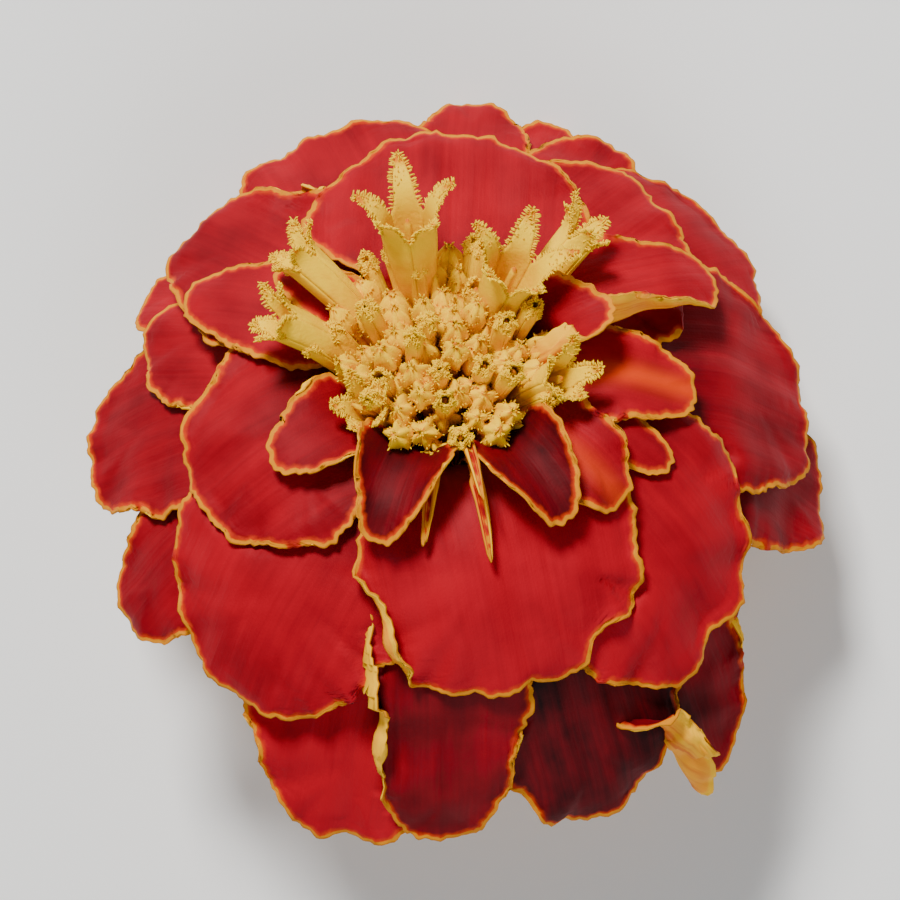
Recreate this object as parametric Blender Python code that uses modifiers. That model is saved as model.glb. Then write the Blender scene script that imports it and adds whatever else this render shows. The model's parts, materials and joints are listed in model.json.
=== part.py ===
"""A double French marigold, picked with a short stalk and lying on its back petals.

The head is modelled upright in its own frame: the flower's axis is +Z, the rim of the green
cup is at z = 0 and the petals spread round it.  At the end the whole head is laid on the
flat that it rests on: the rims of its back petals and the cut end of its stalk.
All lengths are in metres and all angles in degrees.
"""

import math
from dataclasses import dataclass

import bmesh
import bpy
import numpy as np
from mathutils import Matrix, Vector

COLLECTION_NAME = "marigold"

# Petals: a claw stands in the cup, then the blade rises, spreads and droops.
PETAL_THICKNESS = 0.0003
PETAL_ROWS = 8            # faces along a blade
PETAL_COLUMNS = 6         # faces across a blade
CLAW_WIDTH = 0.00085
CLAW_RADIUS = 0.0057      # where the lowest petals' claws stand
CLAW_RADIUS_STEP = 0.00062  # how much nearer the axis the claws of the next layer stand
CLAW_FOOT_Z = -0.011      # the foot of every floret, just above the receptacle
BLADE_FOOT_Z = -0.004     # where the claw turns into the blade
RISE = 0.0056             # height that the lowest blades climb
RISE_STEP = 0.0020        # and how much more the next layer climbs
RISE_RUN = 0.0006         # radial distance that the climb takes
RISE_RUN_STEP = 0.00035
DROOP = 0.0105            # fall of a petal at the side, over DROOP_RUN
DROOP_FRONT = 0.0075      # extra fall at the front, and less at the back
DROOP_RUN = 0.020
TIP_ROUNDING = 0.27       # how far the corners of a blade's end fall back
BLADE_WIDEN_RUN = 0.60    # share of the reach over which a blade widens

# Disc florets: slender tubes that stand on the receptacle and open above the petals.
OPEN_FOOT_RADIUS = 0.0023   # the open florets' feet stand on this circle
DISC_TUBE_POINTS = 8
DISC_FOOT_TUBE = 0.00028    # tube radius at the foot
BUD_COUNT = 13
BUD_FOOT_RADIUS = 0.00155   # the buds' feet fill this circle
BUD_DOME_RADIUS = 0.0049    # and their heads this one
BUD_DOME_TOP = 0.0118
BUD_DOME_DROP = 0.0020      # the outermost buds are this much lower
BUD_TUBE = 0.00085          # radius of a closed bud at its head
BUD_BEND = 2.5
BUD_TURN = 60.0             # azimuth of the first bud
GOLDEN_ANGLE = 137.508

# Green parts.
CUP_THICKNESS = 0.0006
CUP_TEETH = 8
CUP_STEPS_PER_TOOTH = 4
CUP_TOOTH_HEIGHT = 0.0014
CUP_PROFILE = ((0.0033, -0.0150), (0.0052, -0.0141), (0.0064, -0.0122),
               (0.0069, -0.0090), (0.0070, -0.0050), (0.0070, -0.0022))
STALK_END_Z = -0.0215
STALK_BEND = 0.0006         # how far the cut end stands off the axis
STALK_PROFILE = ((1.00, 0.0016), (0.80, 0.0017), (0.60, 0.0020), (0.42, 0.0024),
                 (0.30, 0.0027), (0.22, 0.0028), (0.08, 0.0046), (0.00, 0.0050))
RECEPTACLE_TOP_Z = CLAW_FOOT_Z - 0.0003

# How the picked head lies: its axis leans back by about this much.
LEAN = 34.0


@dataclass(frozen=True)
class RayFloret:
    """One petal: where it points, which layer it is in and how large its blade is."""

    azimuth: float
    layer: float
    reach: float
    width: float
    cup: float = 0.0
    droop: float = 0.0


@dataclass(frozen=True)
class DiscFloret:
    """One tube of the centre: its foot, its mouth and how late it leans outward."""

    foot_azimuth: float
    foot_radius: float
    head: tuple
    head_tube: float
    bend: float


# Azimuth 0 is the right side, 90 the back and -90 the front.
RAY_FLORETS = (
    # back
    RayFloret(85.5, 0.50, 0.0276, 0.0100),
    RayFloret(73.5, 0.00, 0.0274, 0.0080),
    RayFloret(63.0, 1.00, 0.0260, 0.0110),
    RayFloret(40.0, 1.50, 0.0258, 0.0190),
    RayFloret(112.0, 1.70, 0.0242, 0.0200),
    RayFloret(88.0, 3.20, 0.0198, 0.0200),
    RayFloret(51.0, 2.50, 0.0209, 0.0160),
    # right
    RayFloret(25.0, 3.95, 0.0200, 0.0080),
    RayFloret(10.5, 1.92, 0.0252, 0.0160),
    RayFloret(-2.0, 0.60, 0.0263, 0.0130),
    RayFloret(-34.0, 2.45, 0.0223, 0.0182),
    RayFloret(-37.0, 0.00, 0.0256, 0.0150, droop=0.0015),
    # front
    RayFloret(-76.0, 3.10, 0.0199, 0.0190),
    RayFloret(-63.0, 0.95, 0.0249, 0.0150, droop=0.0008),
    RayFloret(-90.5, 1.75, 0.0242, 0.0116),
    RayFloret(-108.0, 0.25, 0.0250, 0.0150, droop=0.0006),
    RayFloret(-130.0, 2.45, 0.0224, 0.0176),
    # left
    RayFloret(-159.0, 3.00, 0.0180, 0.0160),
    RayFloret(177.0, 0.65, 0.0246, 0.0140),
    RayFloret(-155.0, 0.05, 0.0240, 0.0110),
    RayFloret(161.0, 1.25, 0.0216, 0.0120),
    RayFloret(141.5, 2.30, 0.0226, 0.0140),
    RayFloret(149.5, 0.30, 0.0243, 0.0090),
    RayFloret(158.0, 3.40, 0.0187, 0.0080),
    # small ones round the centre
    RayFloret(149.0, 4.20, 0.0132, 0.0050),
    RayFloret(-151.0, 3.90, 0.0126, 0.0070),
    RayFloret(-108.0, 4.30, 0.0120, 0.0050, cup=0.0016),
    RayFloret(-56.0, 4.20, 0.0126, 0.0050, cup=0.0016),
    RayFloret(-34.0, 3.75, 0.0140, 0.0080),
    RayFloret(2.0, 3.35, 0.0168, 0.0070),
    RayFloret(10.0, 4.60, 0.0112, 0.0052, cup=0.0016),
    RayFloret(-21.0, 2.90, 0.0162, 0.0048),
    # narrow ribbons at the front
    RayFloret(-91.0, 3.65, 0.0135, 0.0014),
    RayFloret(-82.0, 5.00, 0.0120, 0.0012),
    RayFloret(-74.0, 3.65, 0.0145, 0.0014),
    # lowest ones under the back
    RayFloret(119.0, -0.40, 0.0252, 0.0130, droop=0.0045),
    RayFloret(36.0, -0.40, 0.0250, 0.0120, droop=0.0040),
)

OPEN_DISC_FLORETS = (
    DiscFloret(111.0, OPEN_FOOT_RADIUS, (-0.0024, 0.0063, 0.0150), 0.0012, 2.0),
    DiscFloret(68.0, OPEN_FOOT_RADIUS, (0.0044, 0.0035, 0.0135), 0.0012, 2.0),
    DiscFloret(151.5, OPEN_FOOT_RADIUS, (-0.0092, 0.0052, 0.0124), 0.0009, 4.3),
    DiscFloret(174.0, OPEN_FOOT_RADIUS, (-0.0104, 0.0008, 0.0118), 0.0009, 3.8),
    DiscFloret(30.0, OPEN_FOOT_RADIUS, (0.0086, 0.0070, 0.0122), 0.0009, 4.2),
    DiscFloret(-21.0, OPEN_FOOT_RADIUS, (0.0074, -0.0029, 0.0108), 0.0009, 3.0),
    DiscFloret(-137.4, OPEN_FOOT_RADIUS, (-0.0050, -0.0046, 0.0100), 0.0009, 2.6),
)


def clear_scene():
    """Remove every object that the file starts with."""
    for obj in list(bpy.data.objects):
        bpy.data.objects.remove(obj, do_unlink=True)


def make_finish(name, colour, roughness):
    """Return a plain Principled material of one colour (linear RGB) and roughness."""
    material = bpy.data.materials.new(name)
    material.use_nodes = True
    shader = material.node_tree.nodes["Principled BSDF"]
    shader.inputs["Base Color"].default_value = (*colour, 1.0)
    shader.inputs["Roughness"].default_value = roughness
    shader.inputs["Metallic"].default_value = 0.0
    return material


def add_object(collection, root, name, data, colour, roughness):
    """Put a mesh or curve in the collection as a named piece with its own finish."""
    obj = bpy.data.objects.new(name, data)
    data.materials.append(make_finish(name, colour, roughness))
    obj.parent = root
    collection.objects.link(obj)
    return obj


def blade_height(floret, radius, azimuth):
    """Height of a petal's surface at a distance from the axis (azimuth in radians)."""
    run = RISE_RUN + RISE_RUN_STEP * floret.layer
    climb = RISE + RISE_STEP * floret.layer
    outward = max(radius - claw_radius(floret.layer), 0.0)
    fall = DROOP - DROOP_FRONT * math.sin(azimuth) + floret.droop
    return BLADE_FOOT_Z + climb * (1.0 - math.exp(-outward / run)) - fall * (outward / DROOP_RUN) ** 3


def claw_radius(layer):
    """Distance from the axis of the claws of a layer."""
    return CLAW_RADIUS - CLAW_RADIUS_STEP * layer


def smooth_step(value):
    """Ease from 0 to 1 as value goes from 0 to 1."""
    value = min(max(value, 0.0), 1.0)
    return value * value * (3.0 - 2.0 * value)


class Blade:
    """The curved surface of one petal, addressed by its share along and across."""

    MIDRIB_SAMPLES = 240

    def __init__(self, floret):
        self.floret = floret
        self.azimuth = math.radians(floret.azimuth)
        self.inner = claw_radius(floret.layer)
        self.radii = np.linspace(self.inner, floret.reach, self.MIDRIB_SAMPLES)
        self.heights = np.array([blade_height(floret, r, self.azimuth) for r in self.radii])
        steps = np.hypot(np.diff(self.radii), np.diff(self.heights))
        self.lengths = np.concatenate([[0.0], np.cumsum(steps)])

    def half_width(self, along):
        """Half the blade's width at a share of its length from the claw."""
        radius = np.interp(along * self.lengths[-1], self.lengths, self.radii)
        outward = (radius - self.inner) / (self.floret.reach - self.inner)
        widen = min(max((outward - 0.02) / BLADE_WIDEN_RUN, 0.0), 1.0)
        claw = CLAW_WIDTH / self.floret.width
        narrowing = 1.0 - 0.08 * min(max((along - 0.74) / 0.26, 0.0), 1.0) ** 2
        return self.floret.width / 2 * (claw + (1.0 - claw) * math.sin(widen * math.pi / 2) ** 1.1 * narrowing)

    def point(self, along, across):
        """Point of the surface; along runs 0..1 from the claw, across -1..1 over the width."""
        sideways = across * self.half_width(along)
        rounding = 1.0 - TIP_ROUNDING * abs(across) ** 2.7 * along ** 2
        distance = self.lengths[-1] * along * rounding
        midrib_radius = np.interp(distance, self.lengths, self.radii)
        midrib_height = np.interp(distance, self.lengths, self.heights)
        radius = math.hypot(midrib_radius, sideways)
        azimuth = self.azimuth + math.atan2(sideways, midrib_radius)
        spread = blade_height(self.floret, radius, azimuth)
        spread += self.floret.cup * across ** 2 * min(max((along - 0.15) / 0.5, 0.0), 1.0)
        blend = smooth_step((along - 0.15) / 0.25)
        height = midrib_height * (1.0 - blend) + spread * blend
        return Vector((radius * math.cos(azimuth), radius * math.sin(azimuth), height))


def add_ray_floret(collection, root, name, floret):
    """A petal: a grid bent into a claw and a blade, given its thickness by Solidify."""
    blade = Blade(floret)
    bm = bmesh.new()
    bmesh.ops.create_grid(bm, x_segments=PETAL_COLUMNS, y_segments=PETAL_ROWS + 1, size=1.0)
    for vertex in bm.verts:
        across = vertex.co.x
        row = round((vertex.co.y + 1.0) / 2.0 * (PETAL_ROWS + 1)) - 1
        vertex.co = blade.point(max(row, 0) / PETAL_ROWS, across)
        if row < 0:
            vertex.co.z = CLAW_FOOT_Z
    mesh = bpy.data.meshes.new(name)
    bm.to_mesh(mesh)
    bm.free()
    mesh.shade_smooth()
    obj = add_object(collection, root, name, mesh, (0.55, 0.01, 0.012), 0.5)
    thickness = obj.modifiers.new("thickness", "SOLIDIFY")
    thickness.thickness = PETAL_THICKNESS
    thickness.offset = 0.0
    return obj


def add_tube(collection, root, name, points, radii, resolution, colour, roughness):
    """A round bar along points, with its own radius at each of them and filled ends."""
    curve = bpy.data.curves.new(name, "CURVE")
    curve.dimensions = "3D"
    curve.bevel_depth = 1.0
    curve.bevel_resolution = resolution
    curve.use_fill_caps = True
    spline = curve.splines.new("POLY")
    spline.points.add(len(points) - 1)
    for point, place, radius in zip(spline.points, points, radii):
        point.co = (*place, 1.0)
        point.radius = radius
    return add_object(collection, root, name, curve, colour, roughness)


def add_disc_floret(collection, root, name, floret):
    """A tube that rises from the receptacle and leans out to its head."""
    azimuth = math.radians(floret.foot_azimuth)
    foot = Vector((floret.foot_radius * math.cos(azimuth), floret.foot_radius * math.sin(azimuth)))
    head = Vector(floret.head[:2])
    points, radii = [], []
    for index in range(DISC_TUBE_POINTS):
        share = index / (DISC_TUBE_POINTS - 1)
        place = foot.lerp(head, share ** floret.bend)
        points.append((*place, CLAW_FOOT_Z + (floret.head[2] - CLAW_FOOT_Z) * share))
        radii.append(DISC_FOOT_TUBE + (floret.head_tube - DISC_FOOT_TUBE) * share ** 3)
    return add_tube(collection, root, name, points, radii, 2, (0.9, 0.5, 0.02), 0.5)


def bud_florets():
    """The closed florets of the dome, set out at the golden angle."""
    for index in range(BUD_COUNT):
        share = (index + 0.5) / BUD_COUNT
        turn = BUD_TURN + index * GOLDEN_ANGLE
        spread = BUD_DOME_RADIUS * math.sqrt(share)
        head = (spread * math.cos(math.radians(turn)), spread * math.sin(math.radians(turn)),
                BUD_DOME_TOP - BUD_DOME_DROP * share)
        yield DiscFloret(turn, BUD_FOOT_RADIUS * math.sqrt(share), head, BUD_TUBE, BUD_BEND)


def add_involucre(collection, root):
    """The cup of fused bracts: a turned wall whose rim is drawn up into teeth."""
    bm = bmesh.new()
    profile = [bm.verts.new((radius, 0.0, height)) for radius, height in CUP_PROFILE]
    edges = [bm.edges.new(pair) for pair in zip(profile, profile[1:])]
    steps = CUP_TEETH * CUP_STEPS_PER_TOOTH
    bmesh.ops.spin(bm, geom=profile + edges, cent=(0.0, 0.0, 0.0), axis=(0.0, 0.0, 1.0),
                   angle=math.tau, steps=steps, use_merge=True)
    rim_z = CUP_PROFILE[-1][1]
    for vertex in bm.verts:
        if vertex.co.z > rim_z - 1e-6:
            turn = math.atan2(vertex.co.y, vertex.co.x) / math.tau * CUP_TEETH
            vertex.co.z += CUP_TOOTH_HEIGHT * abs(2.0 * (turn % 1.0) - 1.0)
    bmesh.ops.recalc_face_normals(bm, faces=bm.faces)
    mesh = bpy.data.meshes.new("involucre")
    bm.to_mesh(mesh)
    bm.free()
    mesh.shade_smooth()
    obj = add_object(collection, root, "involucre", mesh, (0.10, 0.20, 0.03), 0.5)
    wall = obj.modifiers.new("wall", "SOLIDIFY")
    wall.thickness = CUP_THICKNESS
    wall.offset = 0.0
    return obj


def add_stalk(collection, root):
    """The stalk: a slightly bent stem that swells into the receptacle under the florets."""
    points, radii = [], []
    length = RECEPTACLE_TOP_Z - STALK_END_Z
    for share, radius in STALK_PROFILE:
        points.append((STALK_BEND * share ** 2, 0.0, RECEPTACLE_TOP_Z - length * share))
        radii.append(radius)
    return add_tube(collection, root, "stalk", points, radii, 6, (0.12, 0.22, 0.04), 0.55)


def world_triangles(obj, depsgraph):
    """Corners of an object's evaluated triangles as an array of shape (n, 3, 3)."""
    evaluated = obj.evaluated_get(depsgraph)
    mesh = evaluated.to_mesh()
    mesh.calc_loop_triangles()
    corners = np.array([vertex.co for vertex in mesh.vertices])
    triangles = corners[np.array([tuple(triangle.vertices) for triangle in mesh.loop_triangles])]
    evaluated.to_mesh_clear()
    return triangles


def centre_of_mass(triangles):
    """Centre of the volume that closed triangles hold."""
    first, second, third = triangles[:, 0], triangles[:, 1], triangles[:, 2]
    volumes = np.einsum("ij,ij->i", first, np.cross(second, third))
    return Vector((volumes[:, None] * (first + second + third)).sum(0) / (4.0 * volumes.sum()))


def resting_face(triangles, centre):
    """Outward normal and one corner of the flat that the head rests on."""
    bm = bmesh.new()
    for corner in triangles.reshape(-1, 3):
        bm.verts.new(corner)
    bmesh.ops.remove_doubles(bm, verts=bm.verts, dist=1e-7)
    bmesh.ops.convex_hull(bm, input=bm.verts)
    down = Vector((0.0, math.sin(math.radians(LEAN)), -math.cos(math.radians(LEAN))))
    best = None
    for face in bm.faces:
        normal = face.normal if face.normal.dot(face.calc_center_median() - centre) > 0 else -face.normal
        a, b, c = (vertex.co for vertex in face.verts)
        foot = centre + normal * normal.dot(a - centre)
        sides = [normal.dot((q - p).cross(foot - p)) for p, q in ((a, b), (b, c), (c, a))]
        stands = all(side >= 0 for side in sides) or all(side <= 0 for side in sides)
        if stands and (best is None or normal.dot(down) > best[0].dot(down)):
            best = (normal.copy(), a.copy())
    bm.free()
    return best


def lay_down(root, objects):
    """Turn and place the root so that the head rests on z = 0, centred on the origin."""
    depsgraph = bpy.context.evaluated_depsgraph_get()
    triangles = np.concatenate([world_triangles(obj, depsgraph) for obj in objects])
    normal, _ = resting_face(triangles, centre_of_mass(triangles))
    turn = normal.rotation_difference(Vector((0.0, 0.0, -1.0))).to_matrix()
    turned = triangles.reshape(-1, 3) @ np.array(turn).T
    low, high = turned.min(0), turned.max(0)
    shift = Vector((-(low[0] + high[0]) / 2, -(low[1] + high[1]) / 2, -low[2]))
    root.matrix_world = Matrix.Translation(shift) @ turn.to_4x4()


def main():
    """Model the head upright, then lay it down."""
    clear_scene()
    collection = bpy.data.collections.new(COLLECTION_NAME)
    bpy.context.scene.collection.children.link(collection)
    root = bpy.data.objects.new("head_frame", None)
    collection.objects.link(root)
    objects = [add_stalk(collection, root), add_involucre(collection, root)]
    for number, floret in enumerate(RAY_FLORETS, 1):
        objects.append(add_ray_floret(collection, root, f"ray_floret_{number:02d}", floret))
    disc_florets = (*OPEN_DISC_FLORETS, *bud_florets())
    for number, floret in enumerate(disc_florets, 1):
        objects.append(add_disc_floret(collection, root, f"disc_floret_{number:02d}", floret))
    bpy.context.view_layer.update()
    lay_down(root, objects)


main()
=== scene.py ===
"""Looks of a picked marigold head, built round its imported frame.

The head is made in its own upright frame, in millimetres: +Z is the flower's axis, the rim of
the green cup is at z = 0, azimuth 0 points to +X and 90 to the back petals.  A fit of the
petals to the frame's nodes then gives the turn and place of the head as it lies.
"""

from __future__ import annotations

import json
import logging
import math
from dataclasses import dataclass, field, replace
from enum import Enum

import bmesh
import bpy
import numpy as np
from mathutils import Matrix, Vector

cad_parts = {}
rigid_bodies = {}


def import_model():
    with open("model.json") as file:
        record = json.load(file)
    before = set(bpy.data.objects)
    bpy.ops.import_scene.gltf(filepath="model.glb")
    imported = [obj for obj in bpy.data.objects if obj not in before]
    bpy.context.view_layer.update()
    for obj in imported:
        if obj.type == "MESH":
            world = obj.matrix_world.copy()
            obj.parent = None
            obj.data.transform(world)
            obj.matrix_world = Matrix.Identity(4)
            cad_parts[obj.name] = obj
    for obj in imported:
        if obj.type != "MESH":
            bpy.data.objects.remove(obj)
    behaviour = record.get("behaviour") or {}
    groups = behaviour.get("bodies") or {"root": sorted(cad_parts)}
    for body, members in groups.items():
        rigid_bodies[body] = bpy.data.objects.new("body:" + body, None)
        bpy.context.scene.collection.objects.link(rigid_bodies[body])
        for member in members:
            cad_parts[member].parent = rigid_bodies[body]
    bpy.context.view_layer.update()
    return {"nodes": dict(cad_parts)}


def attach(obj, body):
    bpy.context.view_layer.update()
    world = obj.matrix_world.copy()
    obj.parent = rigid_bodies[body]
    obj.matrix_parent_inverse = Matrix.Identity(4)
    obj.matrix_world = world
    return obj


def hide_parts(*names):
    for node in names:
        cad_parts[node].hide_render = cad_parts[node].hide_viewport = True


LOG = logging.getLogger("marigold")
MM = 0.001
BODY = "root"
GOLDEN_ANGLE = 137.508
LOBES = 5
NORMAL_ROUNDS = 6
Colour = tuple[float, float, float, float]
Spot = tuple[float, float, float]


class Slot(Enum):
    """Material slots of the record."""

    PETAL = "petal_red"
    FLORET = "floret_gold"
    BRACT = "bract_green"
    STALK = "stalk_green"


# --------------------------------------------------------------------------- helpers


def ease(value: np.ndarray) -> np.ndarray:
    """Return value eased from 0 to 1, clamped outside."""
    value = np.clip(value, 0.0, 1.0)
    return value * value * (3.0 - 2.0 * value)


def unit(vectors: np.ndarray) -> np.ndarray:
    """Return vectors scaled to length one."""
    return vectors / np.maximum(np.linalg.norm(vectors, axis=-1, keepdims=True), 1e-9)


def past(value: np.ndarray, start: float, span: float) -> np.ndarray:
    """Return how far value is past start as a share of span, clamped to 0..1."""
    return np.clip((value - start) / span, 0.0, 1.0)


def rise(value: np.ndarray, start: float, span: float) -> np.ndarray:
    """Return value eased from 0 at start to 1 a span further on."""
    return ease((value - start) / span)


def by_row(values: np.ndarray, columns: int) -> np.ndarray:
    """Return a grid in which each row repeats one of the values."""
    return np.repeat(values[:, None], columns, axis=1)


def by_column(values: np.ndarray, rows: int) -> np.ndarray:
    """Return a grid in which each column repeats one of the values."""
    return np.repeat(values[None, :], rows, axis=0)


def rounded(values: np.ndarray, width: int) -> np.ndarray:
    """Return a row of values averaged over an odd number of neighbours."""
    return np.convolve(np.pad(values, width // 2, mode="edge"), np.ones(width) / width, mode="valid")


def soften(grid: np.ndarray, times: int) -> np.ndarray:
    """Average a grid of vectors with its neighbours.

    Args:
        grid: vectors, in an array of shape (rows, columns, size).
        times: number of rounds.

    Returns:
        The softened grid.
    """
    for _ in range(times):
        wide = np.pad(grid, ((1, 1), (1, 1), (0, 0)), mode="edge")
        beside = wide[:-2, 1:-1] + wide[2:, 1:-1] + wide[1:-1, :-2] + wide[1:-1, 2:]
        grid = (beside + 2.0 * grid) / 6.0
    return grid


def grid_normals(points: np.ndarray) -> np.ndarray:
    """Find the normals of a grid of points, steady at pinched corners.

    Args:
        points: grid of shape (rows, columns, 3).

    Returns:
        Unit normals, which point up where the rows run outward.
    """
    down = np.gradient(points, axis=0)
    side = np.gradient(points, axis=1)
    return unit(soften(np.cross(down, side), NORMAL_ROUNDS))


def rings(theta: np.ndarray, first: np.ndarray, second: np.ndarray) -> np.ndarray:
    """Return unit directions at the angles theta, round each station of a path.

    Args:
        theta: angles round the path.
        first: direction of angle 0 at each station.
        second: direction of a quarter turn at each station.

    Returns:
        Directions of shape (stations, angles, 3).
    """
    return (np.cos(theta)[None, :, None] * first[:, None, :]
            + np.sin(theta)[None, :, None] * second[:, None, :])


def ripple(place: np.ndarray, lengths: tuple[float, ...], rng: np.random.Generator) -> np.ndarray:
    """Return a sum of waves along a line, about -1..1.

    Args:
        place: position along the line at each point, in millimetres.
        lengths: wave lengths, one wave train each.
        rng: source of the phases and strengths.

    Returns:
        The height of the sum at each point.
    """
    total = np.zeros_like(place)
    for length in lengths:
        drift = 0.35 * np.sin(place * math.tau / (length * 3.7) + rng.uniform(0.0, math.tau))
        wave = np.sin(place * math.tau / length + drift * 3.0 + rng.uniform(0.0, math.tau))
        total = total + rng.uniform(0.6, 1.0) * wave
    return total / (0.8 * len(lengths))


@dataclass
class Sheet:
    """Vertices, faces, face finishes and point attributes of one mesh, in millimetres."""

    points: np.ndarray
    faces: list[tuple[int, ...]]
    finish: list[int] = field(default_factory=list)
    values: dict[str, np.ndarray] = field(default_factory=dict)


def grid_faces(rows: int, columns: int, start: int = 0, closed: bool = False) -> list[tuple[int, ...]]:
    """Return the quads of a grid of points, row by row.

    Args:
        rows: rows of points.
        columns: points in a row.
        start: index of the first point.
        closed: joins each row's last point to its first.

    Returns:
        Quads as tuples of four indices.
    """
    faces = []
    for row in range(rows - 1):
        for column in range(columns if closed else columns - 1):
            here = start + row * columns + column
            right = start + row * columns + (column + 1) % columns
            faces.append((here, right, right + columns, here + columns))
    return faces


def capped_faces(rows: int, columns: int) -> list[tuple[int, ...]]:
    """List the faces of a closed tube of points with a cap at each end.

    Args:
        rows: rings of points.
        columns: points in a ring.

    Returns:
        The quads, then the two caps.
    """
    first = tuple(range(columns - 1, -1, -1))
    last = tuple(range((rows - 1) * columns, rows * columns))
    return [*grid_faces(rows, columns, closed=True), first, last]


def thicken(points: np.ndarray, thickness: np.ndarray, values: dict[str, np.ndarray]) -> Sheet:
    """Close a grid of points into a sheet with a rounded rim.

    Args:
        points: grid of shape (rows, columns, 3).
        thickness: full thickness at each point.
        values: point attributes of the grid.

    Returns:
        A closed sheet: the upper side has finish 0 and the underside finish 1.
    """
    rows, columns = points.shape[:2]
    normals = grid_normals(points)
    half = thickness[..., None] / 2.0
    upper = (points + normals * half).reshape(-1, 3)
    lower = (points - normals * half).reshape(-1, 3)
    count = rows * columns
    top = grid_faces(rows, columns)
    bottom = [(a + count, d + count, c + count, b + count) for a, b, c, d in top]
    ring = list(range(columns))
    ring += [row * columns + columns - 1 for row in range(1, rows)]
    ring += [(rows - 1) * columns + column for column in range(columns - 2, -1, -1)]
    ring += [row * columns for row in range(rows - 2, 0, -1)]
    rim = [(a, b, b + count, a + count) for a, b in zip(ring, ring[1:] + ring[:1])]
    faces = [tuple(reversed(face)) for face in top + bottom] + rim
    finish = [0] * len(top) + [1] * len(bottom) + [0] * len(rim)
    doubled = {name: np.tile(value.reshape(-1), 2) for name, value in values.items()}
    return Sheet(np.concatenate([upper, lower]), faces, finish, doubled)


def merge(sheets: list[Sheet]) -> Sheet:
    """Join several sheets into one.

    Args:
        sheets: the sheets to join.

    Returns:
        One sheet with all their attributes, which are 0 where a sheet had none.
    """
    faces, finish = [], []
    names = set().union(*(sheet.values for sheet in sheets))
    start = 0
    for sheet in sheets:
        faces += [tuple(index + start for index in face) for face in sheet.faces]
        finish += sheet.finish or [0] * len(sheet.faces)
        start += len(sheet.points)
    values = {name: np.concatenate([sheet.values.get(name, np.zeros(len(sheet.points))) for sheet in sheets])
              for name in names}
    return Sheet(np.concatenate([sheet.points for sheet in sheets]), faces, finish, values)


class Workshop:
    """Puts finished sheets in the scene, turned and placed as the head lies."""

    def __init__(self, pose: Matrix) -> None:
        """Keep the pose that takes the head's upright frame (mm) to the lying one (m)."""
        self.pose = pose

    def place(self, name: str, sheet: Sheet, materials: list[bpy.types.Material], slot: Slot,
              replaces: tuple[str, ...] = ()) -> bpy.types.Object:
        """Make a sheet a piece of the model.

        Args:
            name: the piece's name.
            sheet: its mesh in the head's frame.
            materials: its finishes, in the order of the sheet's finish numbers.
            slot: not used.
            replaces: frame nodes that it stands for.

        Returns:
            The new object.
        """
        mesh = bpy.data.meshes.new(name)
        mesh.from_pydata([tuple(point) for point in sheet.points.tolist()], [], sheet.faces)
        for material in materials:
            mesh.materials.append(material)
        if sheet.finish:
            mesh.polygons.foreach_set("material_index", sheet.finish)
        for key, value in sheet.values.items():
            layer = mesh.attributes.new(key, "FLOAT", "POINT")
            layer.data.foreach_set("value", value.astype(np.float32))
        mesh.transform(self.pose)
        mesh.update()
        mesh.shade_smooth()
        piece = bpy.data.objects.new(name, mesh)
        bpy.context.scene.collection.objects.link(piece)
        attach(piece, BODY)
        if replaces:
            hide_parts(*replaces)
        return piece


# --------------------------------------------------------------------------- finishes


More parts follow.
